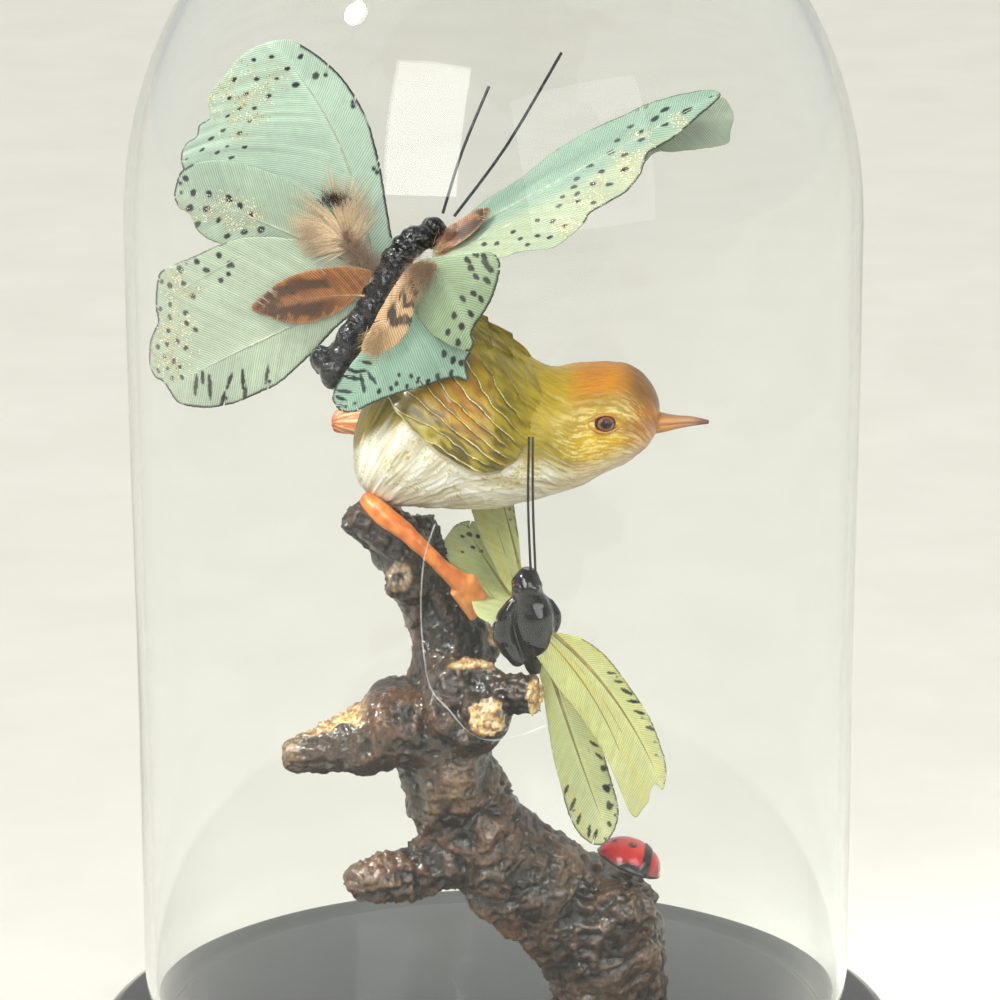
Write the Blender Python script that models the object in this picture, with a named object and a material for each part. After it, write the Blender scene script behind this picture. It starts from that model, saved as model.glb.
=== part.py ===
"""Bell jar dome: a glass bell over a cast branch with a bird, two feather butterflies and a ladybird, on a turned base.

World frame: origin at the bottom centre of the base, +Z up, +X to the right of the front, +Y to the back.
"""

import math

import bmesh
import bpy
from mathutils import Vector

MM = 0.001
GAP = 0.3

# Turned base, in millimetres
SEGMENTS = 40
BASE_RADIUS = 97.5
BASE_UNDERSIDE = 2.3
BASE_TOP = 20.0
DECK_TOP = 21.5
GROOVE_FLOOR = 16.0
GROOVE_INNER = 79.9
GROOVE_OUTER = 82.8
PAD_RADIUS = 7.0
PAD_HEIGHT = 2.0
PAD_CIRCLE = 80.0

# Glass bell, in millimetres
RIM_BOTTOM = GROOVE_FLOOR + GAP
RIM_OUTER = 82.2
RIM_INNER = 80.4
WALL_RADIUS = 84.4
SHOULDER_RADIUS = 85.3
WALL_THICKNESS = 2.2
CROWN_START = 218.6
CROWN_RISE = 95.0
CROWN_RINGS = 8

# Branch fixings, in millimetres
SCREW_SPOTS = ((22.0, 9.0), (34.0, 16.0))
SCREW_HEAD_RADIUS = 3.6
SCREW_HEAD_BOTTOM = 3.2
SCREW_HEAD_TOP = 6.0
SCREW_SHANK_RADIUS = 1.6
SCREW_TIP = 34.0
COUNTERBORE_RADIUS = 4.4
CLEARANCE_RADIUS = 2.1
PILOT_RADIUS = 1.9

FEATHER_STATIONS = 9
FEATHER_THICKNESS = 0.5
QUILL_THICKNESS = 1.1

GREEN = (0.42, 0.68, 0.55)
PALE_GREEN = (0.50, 0.70, 0.58)
YELLOW_GREEN = (0.72, 0.78, 0.38)
BLACK = (0.01, 0.01, 0.012)
BARK = (0.13, 0.07, 0.035)


# ---------------------------------------------------------------- helpers


def point(x, y, z):
    return Vector((x, y, z))


def clear_scene():
    for item in list(bpy.data.objects):
        bpy.data.objects.remove(item, do_unlink=True)


def give_material(item, colour, roughness, metallic=0.0, transmission=0.0):
    made = bpy.data.materials.new(item.name + "_material")
    made.use_nodes = True
    shader = made.node_tree.nodes["Principled BSDF"]
    shader.inputs["Base Color"].default_value = (*colour, 1.0)
    shader.inputs["Roughness"].default_value = roughness
    shader.inputs["Metallic"].default_value = metallic
    shader.inputs["Transmission Weight"].default_value = transmission
    item.data.materials.append(made)


def add_object(name, bm, sharp=40.0):
    """Makes an object of a bmesh drawn in millimetres."""
    for vertex in bm.verts:
        vertex.co *= MM
    bmesh.ops.recalc_face_normals(bm, faces=bm.faces)
    mesh = bpy.data.meshes.new(name)
    bm.to_mesh(mesh)
    bm.free()
    mesh.shade_smooth()
    mesh.set_sharp_from_angle(angle=math.radians(sharp))
    item = bpy.data.objects.new(name, mesh)
    bpy.context.scene.collection.objects.link(item)
    return item


def hide_helper(item):
    item.hide_render = True
    item.display_type = "WIRE"


def cut(item, cutter, operation="DIFFERENCE"):
    hide_helper(cutter)
    modifier = item.modifiers.new(cutter.name, "BOOLEAN")
    modifier.operation = operation
    modifier.solver = "EXACT"
    modifier.object = cutter


def skin(bm, rings, closed=False):
    """Joins rings of points with quads. Unless closed, the first and last rings are capped."""
    rows = [[bm.verts.new(p) for p in ring] for ring in rings]
    pairs = list(zip(rows, rows[1:]))
    if closed:
        pairs.append((rows[-1], rows[0]))
    for lower, upper in pairs:
        count = len(lower)
        for i in range(count):
            j = (i + 1) % count
            bm.faces.new((lower[i], lower[j], upper[j], upper[i]))
    if not closed:
        bm.faces.new(list(reversed(rows[0])))
        bm.faces.new(rows[-1])
    return rows


def turned(name, profile, centre=(0.0, 0.0), segments=SEGMENTS, closed=False, sharp=40.0):
    """Turns a profile of (radius, height) pairs about a vertical line. An open profile is capped at both ends."""
    bm = bmesh.new()
    rings = []
    for radius, height in profile:
        ring = []
        for i in range(segments):
            angle = 2 * math.pi * i / segments
            x = centre[0] + radius * math.cos(angle)
            y = centre[1] + radius * math.sin(angle)
            ring.append(point(x, y, height))
        rings.append(ring)
    skin(bm, rings, closed)
    return add_object(name, bm, sharp)


def along(values, t):
    """Catmull-Rom value of an evenly spaced list at t from 0 to 1."""
    last = len(values) - 1
    place = min(max(t, 0.0), 1.0) * last
    i = min(int(place), last - 1)
    f = place - i
    a = values[max(i - 1, 0)]
    b = values[i]
    c = values[i + 1]
    d = values[min(i + 2, last)]
    slope_b = (c - a) * 0.5
    slope_c = (d - b) * 0.5
    rise = c - b
    return b + (slope_b + (rise * 3 - slope_b * 2 - slope_c + (slope_b + slope_c - rise * 2) * f) * f) * f


def straight_along(values, t):
    """Straight-line value of an evenly spaced list at t from 0 to 1."""
    last = len(values) - 1
    place = min(max(t, 0.0), 1.0) * last
    i = min(int(place), last - 1)
    return values[i] + (values[i + 1] - values[i]) * (place - i)


def carried_frames(centres):
    """Two directions across a path at each of its points, carried along it without twisting."""
    frames = []
    side = None
    for i, centre in enumerate(centres):
        ahead = centres[min(i + 1, len(centres) - 1)] - centres[max(i - 1, 0)]
        ahead.normalize()
        if side is None:
            side = ahead.cross(point(0.3, 1.0, 0.2))
        side = side - ahead * side.dot(ahead)
        side.normalize()
        frames.append((side, ahead.cross(side), ahead))
    return frames


def limb(name, stops, rings=10, sides=12, lumps=0.0, turn=0.0, start=0.0, end=0.6, flat=1.0):
    """A closed tapering limb through (x, y, z, radius) stops, with a lumpy skin.

    start and end round those ends: 0 is a flat cut. flat scales one direction across it.
    """
    centres = []
    radii = []
    middles = [point(*stop[:3]) for stop in stops]
    thick = [stop[3] for stop in stops]
    for i in range(rings + 1):
        t = i / rings
        centres.append(along(middles, t))
        radii.append(max(along(thick, t), 0.15))
    frames = carried_frames(centres)
    slices = []
    for i in range(rings + 1):
        slices.append((centres[i], radii[i], frames[i]))
    if end:
        last = slices[-1]
        for lean in (35.0, 65.0):
            reach = last[1] * end * math.sin(math.radians(lean))
            slices.append((last[0] + last[2][2] * reach, last[1] * math.cos(math.radians(lean)), last[2]))
    if start:
        first = slices[0]
        for lean in (35.0, 65.0):
            reach = first[1] * start * math.sin(math.radians(lean))
            slices.insert(0, (first[0] - first[2][2] * reach, first[1] * math.cos(math.radians(lean)), first[2]))
    drawn = []
    for k, (centre, radius, (across, up, _)) in enumerate(slices):
        ring = []
        for j in range(sides):
            angle = 2 * math.pi * j / sides
            wave = math.sin(3 * angle + 1.9 * k + turn) + 0.7 * math.sin(5 * angle - 1.3 * k + 2 * turn)
            r = radius * (1 + lumps * wave)
            ring.append(centre + across * (r * math.cos(angle)) + up * (r * flat * math.sin(angle)))
        drawn.append(ring)
    bm = bmesh.new()
    skin(bm, drawn)
    return add_object(name, bm)


def feather(name, root, bow, tip, side, left, right, curl=0.0, thickness=FEATHER_THICKNESS):
    """A feather: a quill from root to tip with a thin vane on each side of it.

    bow is the point the quill bends towards. side points from the quill to the left vane.
    left and right are vane widths at even steps from root to tip. curl lifts the vane edges.
    """
    root = point(*root)
    bow = point(*bow)
    tip = point(*tip)
    side = point(*side)
    bm = bmesh.new()
    rings = []
    for i in range(FEATHER_STATIONS + 1):
        t = i / FEATHER_STATIONS
        centre = root * (1 - t) ** 2 + bow * (2 * t * (1 - t)) + tip * t**2
        ahead = (bow - root) * (1 - t) + (tip - bow) * t
        ahead.normalize()
        across = side - ahead * side.dot(ahead)
        across.normalize()
        normal = ahead.cross(across)
        width_left = max(along(left, t), 0.6)
        width_right = max(along(right, t), 0.6)
        stalk = QUILL_THICKNESS * (1 - 0.6 * t)
        columns = (
            (-width_right, thickness * 0.5),
            (-width_right * 0.5, thickness),
            (0.0, stalk),
            (width_left * 0.5, thickness),
            (width_left, thickness * 0.5),
        )
        front = []
        back = []
        for offset, deep in columns:
            lift = curl * (offset / 10.0) ** 2
            middle = centre + across * offset + normal * lift
            front.append(middle + normal * (deep * 0.5))
            back.append(middle - normal * (deep * 0.5))
        rings.append(front + back[::-1])
    skin(bm, rings)
    return add_object(name, bm)


def wire(name, stops, radius, rings=8, sides=6):
    return limb(name, [(*stop, radius) for stop in stops], rings=rings, sides=sides, end=0.0)


# ---------------------------------------------------------------- base


def build_base():
    profile = [
        (84.0, BASE_UNDERSIDE),
        (94.0, BASE_UNDERSIDE),
        (95.6, 3.6),
        (96.2, 7.0),
        (96.6, 8.6),
        (BASE_RADIUS - 0.2, 10.4),
        (BASE_RADIUS, 13.5),
        (BASE_RADIUS - 0.5, 16.6),
        (BASE_RADIUS - 1.8, 18.8),
        (BASE_RADIUS - 4.0, BASE_TOP),
        (GROOVE_OUTER, BASE_TOP),
        (GROOVE_OUTER, GROOVE_FLOOR),
        (GROOVE_INNER, GROOVE_FLOOR),
        (GROOVE_INNER, DECK_TOP - 0.6),
        (GROOVE_INNER - 0.6, DECK_TOP),
    ]
    plinth = turned("base_plinth", profile, sharp=30.0)
    for number, spot in enumerate(SCREW_SPOTS, 1):
        recess = SCREW_HEAD_TOP + GAP
        drill = [
            (COUNTERBORE_RADIUS, BASE_UNDERSIDE - 1.0),
            (COUNTERBORE_RADIUS, recess),
            (CLEARANCE_RADIUS, recess),
            (CLEARANCE_RADIUS, DECK_TOP + 1.0),
        ]
        cut(plinth, turned(f"plinth_drill_{number}", drill, spot, 14))
    give_material(plinth, BLACK, 0.12)

    for number in range(1, 5):
        angle = math.radians(90 * number - 45)
        spot = (PAD_CIRCLE * math.cos(angle), PAD_CIRCLE * math.sin(angle))
        outline = [
            (PAD_RADIUS, 0.0),
            (PAD_RADIUS, PAD_HEIGHT),
        ]
        pad = turned(f"foot_pad_{number}", outline, spot, 14)
        give_material(pad, (0.02, 0.02, 0.02), 0.95)


def build_screws():
    for number, spot in enumerate(SCREW_SPOTS, 1):
        outline = [
            (SCREW_HEAD_RADIUS - 0.6, SCREW_HEAD_BOTTOM),
            (SCREW_HEAD_RADIUS, SCREW_HEAD_BOTTOM + 0.7),
            (SCREW_HEAD_RADIUS, SCREW_HEAD_TOP),
            (SCREW_SHANK_RADIUS, SCREW_HEAD_TOP),
            (SCREW_SHANK_RADIUS, SCREW_TIP - 3.0),
            (0.3, SCREW_TIP),
        ]
        screw = turned(f"branch_screw_{number}", outline, spot, 16)
        for turn in range(2):
            bm = bmesh.new()
            bmesh.ops.create_cube(bm, size=1.0)
            long = 4.4 if turn else 0.9
            wide = 0.9 if turn else 4.4
            for vertex in bm.verts:
                vertex.co.x = spot[0] + vertex.co.x * long
                vertex.co.y = spot[1] + vertex.co.y * wide
                vertex.co.z = SCREW_HEAD_BOTTOM + 0.25 + vertex.co.z * 2.5
            cut(screw, add_object(f"screw_slot_{number}_{turn}", bm))
        give_material(screw, (0.55, 0.55, 0.56), 0.3, metallic=1.0)


def build_glass():
    """The bell: a lip turned in a little, a straight wall, a slightly wider shoulder and a domed crown."""
    outer = [
        (RIM_OUTER - 0.5, RIM_BOTTOM),
        (RIM_OUTER, RIM_BOTTOM + 0.6),
        (RIM_OUTER, 23.0),
        (RIM_OUTER + 0.5, 27.0),
        (RIM_OUTER + 1.2, 30.5),
        (WALL_RADIUS - 0.2, 34.0),
        (WALL_RADIUS, 38.0),
        (WALL_RADIUS, 100.0),
        (WALL_RADIUS + 0.1, 150.0),
        (WALL_RADIUS + 0.5, 190.0),
    ]
    inner = [
        (RIM_INNER + 0.4, RIM_BOTTOM),
        (RIM_INNER, RIM_BOTTOM + 0.6),
        (RIM_INNER, 23.5),
        (RIM_INNER + 0.4, 27.5),
        (RIM_INNER + 1.0, 31.0),
        (WALL_RADIUS - WALL_THICKNESS - 0.2, 34.5),
        (WALL_RADIUS - WALL_THICKNESS, 38.0),
        (WALL_RADIUS - WALL_THICKNESS, 100.0),
        (WALL_RADIUS - WALL_THICKNESS + 0.1, 150.0),
        (WALL_RADIUS - WALL_THICKNESS + 0.5, 190.0),
    ]
    for i in range(CROWN_RINGS + 1):
        lean = math.radians(86.0 * i / CROWN_RINGS)
        outer.append((SHOULDER_RADIUS * math.cos(lean), CROWN_START + CROWN_RISE * math.sin(lean)))
        inside = SHOULDER_RADIUS - WALL_THICKNESS
        inner.append((inside * math.cos(lean), CROWN_START + (CROWN_RISE - WALL_THICKNESS) * math.sin(lean)))
    # One skin: up the outside to the crown and back down the inside, so the two crown caps are pole faces.
    bm = bmesh.new()
    rows = []
    for profile in (outer, inner):
        rings = []
        for radius, height in profile:
            ring = []
            for i in range(SEGMENTS):
                angle = 2 * math.pi * i / SEGMENTS
                ring.append(bm.verts.new((radius * math.cos(angle), radius * math.sin(angle), height)))
            rings.append(ring)
        rows.append(rings)
    strips = [(a, b) for rings in rows for a, b in zip(rings, rings[1:])]
    strips.append((rows[0][0], rows[1][0]))
    for lower, upper in strips:
        for i in range(SEGMENTS):
            j = (i + 1) % SEGMENTS
            bm.faces.new((lower[i], lower[j], upper[j], upper[i]))
    tops = (CROWN_START + CROWN_RISE, CROWN_START + CROWN_RISE - WALL_THICKNESS)
    for rings, top in zip(rows, tops):
        pole = bm.verts.new((0.0, 0.0, top))
        for i in range(SEGMENTS):
            bm.faces.new((rings[-1][i], rings[-1][(i + 1) % SEGMENTS], pole))
    glass = add_object("glass_dome", bm)
    give_material(glass, (1.0, 1.0, 1.0), 0.0, transmission=1.0)


# ---------------------------------------------------------------- branch and ladybird


def build_branch():
    trunk = [
        (26.5, 17.0, 15.0, 12.4),
        (27.0, 14.0, 29.0, 15.0),
        (22.5, 9.0, 42.0, 15.2),
        (11.0, 4.5, 52.5, 13.2),
        (-0.5, 0.5, 64.0, 12.2),
        (-8.5, -2.0, 78.0, 12.0),
        (-12.5, -3.0, 92.0, 12.2),
        (-11.0, -0.5, 105.5, 10.6),
        (-9.4, 2.0, 117.0, 9.2),
        (-14.2, 2.0, 127.5, 8.2),
        (-21.5, 0.0, 138.0, 7.2),
        (-28.8, -3.0, 145.0, 5.4),
        (-32.6, -4.0, 147.8, 4.2),
    ]
    branch = limb("branch", trunk, rings=24, sides=16, lumps=0.035, turn=0.4, end=0.5)
    limbs = {
        "back_arm": ([(-12, 3, 122, 6.6), (-14.5, 7.5, 133, 5.4), (-17.5, 12, 142, 4.6)], 5, 0.5),
        "left_stub": ([(-12, -3, 93, 12), (-23, -6, 96.5, 10.8), (-34, -8, 93.4, 7.8), (-49, -9.8, 91.6, 2.8)], 8, 0.5),
        "low_stub": ([(-2, -1, 67, 10), (-13, -4, 63.5, 7.8), (-23, -7, 60.8, 6), (-32, -9.5, 58.8, 4.4)], 7, 0.8),
        "front_knot": ([(-8.5, 0, 99, 11), (-6, -12, 104.5, 10.8), (-5, -21, 107.4, 9.8)], 5, 0.0),
        "front_peg": ([(-4, -19, 106.2, 5.4), (-2.2, -26, 106.8, 4.6), (-1.4, -32.0, 107.4, 4.2)], 3, 0.0),
        "right_peg": ([(-4, -16, 108.6, 5.6), (3, -20, 109.2, 4.6), (9.8, -23.4, 109.4, 4.0)], 4, 0.0),
        "back_peg": ([(-6, 1, 110, 5), (-1, 4, 114, 3.4), (2.6, 6, 117.6, 2.6)], 3, 0.0),
        "burl": ([(-16, 1, 131, 6.6), (-20.5, -4.5, 133.5, 5.6), (-22.6, -7.4, 134.4, 4.2)], 3, 0.5),
        "ladybird_seat": ([(24, 9, 36, 12), (28, 4, 46, 10.5), (30.5, 1, 51.6, 9)], 4, 0.5),
    }
    for number, (piece, (stops, rings, end)) in enumerate(limbs.items()):
        helper = limb("branch_" + piece, stops, rings=rings, sides=10, lumps=0.04, turn=1.1 * number, end=end)
        cut(branch, helper, "UNION")
    bm = bmesh.new()
    bmesh.ops.create_cube(bm, size=1.0)
    for vertex in bm.verts:
        vertex.co.x = vertex.co.x * 120.0
        vertex.co.y = vertex.co.y * 120.0
        vertex.co.z = DECK_TOP + GAP - 20.0 + vertex.co.z * 40.0
    cut(branch, add_object("branch_foot_cut", bm))
    for number, spot in enumerate(SCREW_SPOTS, 1):
        pilot = [
            (PILOT_RADIUS, DECK_TOP - 1.0),
            (PILOT_RADIUS, SCREW_TIP + 0.5),
        ]
        cut(branch, turned(f"branch_pilot_{number}", pilot, spot, 12))
    give_material(branch, BARK, 0.3)


def build_ladybird():
    centre = point(31.8, -0.4, 61.4)
    lean = math.radians(24.0)
    bm = bmesh.new()
    bmesh.ops.create_uvsphere(bm, u_segments=16, v_segments=10, radius=1.0)
    for vertex in bm.verts:
        shape = vertex.co.copy()
        shape.x *= 7.6
        shape.y *= 6.2
        shape.z *= 5.4 if shape.z > 0 else 0.9
        x = shape.x * math.cos(lean) + shape.z * math.sin(lean)
        z = -shape.x * math.sin(lean) + shape.z * math.cos(lean)
        vertex.co = centre + point(x, shape.y, z)
    beetle = add_object("ladybird", bm)
    give_material(beetle, (0.55, 0.02, 0.02), 0.25)


# ---------------------------------------------------------------- bird

# Cross-sections of the bird from rump to bill: x, middle height, half height, half width
BIRD_SECTIONS = [
    (-32.4, 162.6, 4.0, 3.6),
    (-30.8, 163.6, 9.0, 8.4),
    (-27.0, 166.2, 13.8, 13.0),
    (-20.0, 168.6, 17.8, 16.8),
    (-10.0, 170.2, 20.6, 18.8),
    (0.0, 169.6, 20.0, 18.4),
    (8.0, 168.2, 17.0, 16.0),
    (14.0, 168.0, 14.4, 13.8),
    (20.0, 169.4, 14.0, 13.0),
    (26.0, 170.6, 13.4, 12.6),
    (31.5, 170.6, 10.8, 10.6),
    (35.6, 170.0, 7.0, 7.2),
    (38.0, 169.6, 3.0, 3.2),
]


def bird_section(x):
    """Middle height, half height and half width of the bird at x."""
    for a, b in zip(BIRD_SECTIONS, BIRD_SECTIONS[1:]):
        if x <= b[0]:
            f = max((x - a[0]) / (b[0] - a[0]), 0.0)
            return [a[k] + (b[k] - a[k]) * f for k in (1, 2, 3)]
    return list(BIRD_SECTIONS[-1][1:])


def build_bird_body():
    sides = 20
    rings = []
    for i, (x, middle, high, wide) in enumerate(BIRD_SECTIONS):
        rings.append([])
        for j in range(sides):
            angle = 2 * math.pi * j / sides
            rings[i].append(point(x, wide * math.sin(angle), middle + high * math.cos(angle)))
    bm = bmesh.new()
    skin(bm, rings)
    body = add_object("bird_body", bm, 60.0)
    give_material(body, (0.42, 0.36, 0.04), 0.35)

    beak = limb(
        "bird_beak",
        [(38.5, 0, 169.6, 2.5), (42, 0, 169.8, 1.7), (46, 0, 169.9, 1.1), (50, 0, 169.8, 0.5)],
        rings=5,
        sides=10,
        end=0.5,
        flat=0.9,
    )
    give_material(beak, (0.36, 0.16, 0.07), 0.4)
    for side, sign in (("left", 1), ("right", -1)):
        bm = bmesh.new()
        bmesh.ops.create_uvsphere(bm, u_segments=12, v_segments=8, radius=1.9)
        for vertex in bm.verts:
            vertex.co.y *= 0.6
            vertex.co += point(25.6, sign * (12.66 + 0.3 + 1.16), 172.4)
        eye = add_object("bird_eye_" + side, bm)
        give_material(eye, (0.06, 0.02, 0.01), 0.05)


def build_bird_wing(side, sign):
    """A wing shell that follows the flank and rises past the back to a blunt tip."""
    low = [(9.0, 170.0), (3.0, 164.4), (-4.0, 164.6), (-12.0, 169.4), (-19.0, 176.4), (-23.0, 184.6)]
    high = [(11.0, 180.0), (6.5, 187.6), (-2.4, 194.2), (-9.0, 197.0), (-15.0, 197.6), (-19.5, 194.4)]
    steps = 10
    rows = 6
    shell = 1.3
    inner = []
    outer = []
    for i in range(steps + 1):
        t = i / steps
        bottom = along([point(x, 0, z) for x, z in low], t)
        top = along([point(x, 0, z) for x, z in high], t)
        inner.append([])
        outer.append([])
        for j in range(rows + 1):
            place = bottom.lerp(top, j / rows)
            middle, tall, wide = bird_section(place.x)
            share = (place.z - middle) / tall
            flank = wide * math.sqrt(max(1 - share * share, 0.0))
            gap = 0.8 + 3.0 * min(share * share, 1.0)
            y = max(flank + gap, 5.0 - 0.6 * j / rows)
            inner[i].append(point(place.x, sign * y, place.z))
            outer[i].append(point(place.x, sign * (y + shell), place.z))
    rings = [near + far[::-1] for near, far in zip(inner, outer)]
    bm = bmesh.new()
    skin(bm, rings)
    wing = add_object("bird_wing_" + side, bm)
    give_material(wing, (0.30, 0.24, 0.03), 0.35)


def build_bird_limbs():
    near = [
        (-29.6, -6.0, 152.9, 2.2),
        (-26.0, -9.5, 150.2, 2.5),
        (-21.0, -11.5, 146.8, 2.2),
        (-16.2, -12.0, 142.2, 1.8),
        (-11.4, -11.4, 137.2, 1.9),
        (-7.4, -10.0, 133.2, 2.6),
        (-4.8, -9.0, 129.0, 2.4),
        (-3.8, -8.8, 126.2, 1.4),
    ]
    far = [
        (-27.0, 8.0, 151.6, 2.2),
        (-25.0, 13.0, 149.2, 2.3),
        (-24.2, 17.0, 145.0, 1.9),
        (-22.6, 18.2, 139.6, 1.8),
        (-19.0, 17.4, 134.4, 2.3),
        (-16.6, 16.6, 130.4, 1.8),
    ]
    for side, stops in (("right", near), ("left", far)):
        leg = limb("bird_leg_" + side, stops, rings=14, sides=10, lumps=0.04, start=0.6, end=0.7)
        give_material(leg, (0.62, 0.22, 0.05), 0.4)
    tail = limb(
        "bird_tail",
        [(-30.0, 11.4, 166.4, 2.6), (-33.5, 13.6, 166.4, 2.9), (-37.2, 15.2, 166.2, 2.6)],
        rings=5,
        sides=10,
        start=0.3,
        end=0.4,
    )
    give_material(tail, (0.60, 0.22, 0.07), 0.4)


# ---------------------------------------------------------------- butterflies


def build_green_butterfly():
    body = [
        (-12.2, -10.0, 218.5, 2.3),
        (-17.1, -11.0, 216.2, 3.1),
        (-22.0, -12.0, 212.1, 3.1),
        (-25.0, -13.0, 206.6, 2.6),
        (-28.5, -13.5, 200.4, 2.9),
        (-32.7, -14.5, 194.2, 3.0),
        (-36.3, -15.5, 187.8, 3.3),
        (-37.2, -16.0, 184.2, 2.6),
    ]
    item = limb("green_butterfly_body", body, rings=18, sides=12, lumps=0.04, turn=2.0, start=0.7, end=0.7)
    give_material(item, BLACK, 0.35)
    for number, stops in enumerate(
        (
            [(-11.6, -9.4, 221.6), (-7.0, -8.0, 236.0), (-0.9, -6.0, 250.4)],
            [(-9.0, -10.0, 221.0), (3.2, -6.0, 236.8), (15.7, -2.0, 257.4)],
        ),
        1,
    ):
        antenna = wire(f"green_antenna_{number}", stops, 0.35)
        give_material(antenna, BLACK, 0.4)
    stem = wire("green_butterfly_wire", [(-21.0, 0.0, 187.0), (-22.2, -0.8, 195.0), (-25.7, -10.5, 201.9)], 0.5)
    give_material(stem, (0.35, 0.35, 0.36), 0.3, metallic=1.0)

    up = (0.0, 0.0, 1.0)
    feathers = {
        # name: (root, bow, tip, side to the left vane, left widths, right widths, curl, colour)
        "green_left_fore_feather": (
            (-30.6, -7.4, 212.6), (-32.6, -7.6, 243.0), (-50.6, -7.0, 260.4), (-1.0, 0.0, 0.2),
            [1.5, 9.0, 18.0, 25.0, 24.0, 5.0], [2.6, 6.6, 8.6, 9.6, 7.6, 2.0], 0.1, GREEN,
        ),
        "green_left_mid_feather": (
            (-30.8, -9.0, 210.6), (-49.0, -9.0, 219.6), (-71.6, -9.0, 227.0), (-0.2, 0.0, 1.0),
            [1.0, 6.0, 13.0, 16.0, 14.0, 6.0], [1.0, 3.0, 5.6, 8.6, 8.4, 4.0], 0.1, GREEN,
        ),
        "green_left_hind_feather": (
            (-32.4, -10.6, 204.6), (-52.0, -10.6, 194.4), (-75.4, -10.0, 181.4), (-0.4, 0.0, 1.0),
            [2.0, 13.0, 21.0, 24.0, 22.0, 8.0], [2.0, 5.2, 9.0, 11.0, 8.8, 3.0], 0.1, PALE_GREEN,
        ),
        "green_right_fore_feather": (
            (-7.0, -13.0, 217.6), (14.0, -7.0, 228.0), (53.2, 7.0, 246.4), (-0.1, 0.75, 0.4),
            [3.0, 9.0, 13.0, 12.0, 8.0, 1.0], [5.0, 13.0, 17.0, 14.0, 7.0, 1.0], -0.3, GREEN,
        ),
        "green_right_back_feather": (
            (18.0, 4.4, 232.2), (36.0, 9.8, 239.0), (56.0, 13.4, 239.6), (-0.1, 0.3, 1.0),
            [2.0, 3.0, 3.6, 4.4, 5.0, 3.0], [1.0, 2.4, 4.0, 5.4, 6.0, 4.0], 0.0, PALE_GREEN,
        ),
        "green_right_mid_feather": (
            (-14.8, -18.6, 211.7), (-9.0, -22.0, 208.2), (-5.0, -23.2, 194.8), (0.85, -0.1, 0.5),
            [8.0, 15.6, 14.5, 10.5, 6.0, 1.5], [0.8, 3.0, 4.4, 4.4, 3.0, 1.0], 0.0, (0.34, 0.52, 0.40),
        ),
        "green_right_hind_feather": (
            (-17.4, -17.4, 206.3), (-22.0, -20.4, 193.0), (-34.2, -21.8, 179.4), (1.0, 0.0, -0.3),
            [3.0, 15.0, 21.0, 18.0, 9.0, 2.0], [1.0, 2.4, 3.4, 3.6, 3.4, 1.4], 0.0, GREEN,
        ),
        "accent_fan_feather": (
            (-31.0, -12.0, 211.6), (-33.4, -12.2, 221.0), (-40.6, -12.2, 230.8), (-1.0, 0.0, 0.4),
            [1.4, 3.6, 6.4, 9.4, 9.0, 4.0], [1.4, 3.0, 5.4, 8.0, 8.0, 4.0], 0.0, (0.55, 0.36, 0.20),
        ),
        "accent_leaf_feather": (
            (-31.6, -12.4, 204.4), (-42.0, -12.6, 204.8), (-54.2, -12.6, 199.6), (0.0, 0.0, 1.0),
            [1.0, 4.0, 5.6, 5.2, 3.4, 0.8], [1.0, 4.6, 6.6, 6.0, 3.6, 0.8], 0.0, (0.30, 0.12, 0.04),
        ),
        "accent_dark_feather": (
            (-12.4, -14.0, 215.4), (-7.0, -13.8, 220.8), (-1.2, -10.4, 223.0), (-0.1, 0.6, 0.6),
            [0.6, 1.6, 2.4, 2.4, 1.4, 0.6], [0.6, 1.6, 2.4, 2.4, 1.4, 0.6], 0.0, (0.12, 0.04, 0.02),
        ),
        "accent_spotted_feather": (
            (-13.4, -21.0, 211.0), (-21.0, -23.4, 207.2), (-28.8, -24.2, 192.2), (1.0, 0.0, -0.4),
            [1.2, 4.6, 7.4, 8.0, 6.4, 2.0], [1.0, 2.0, 2.6, 2.6, 2.0, 1.0], 0.0, (0.58, 0.40, 0.22),
        ),
    }
    build_feathers(feathers)


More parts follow.
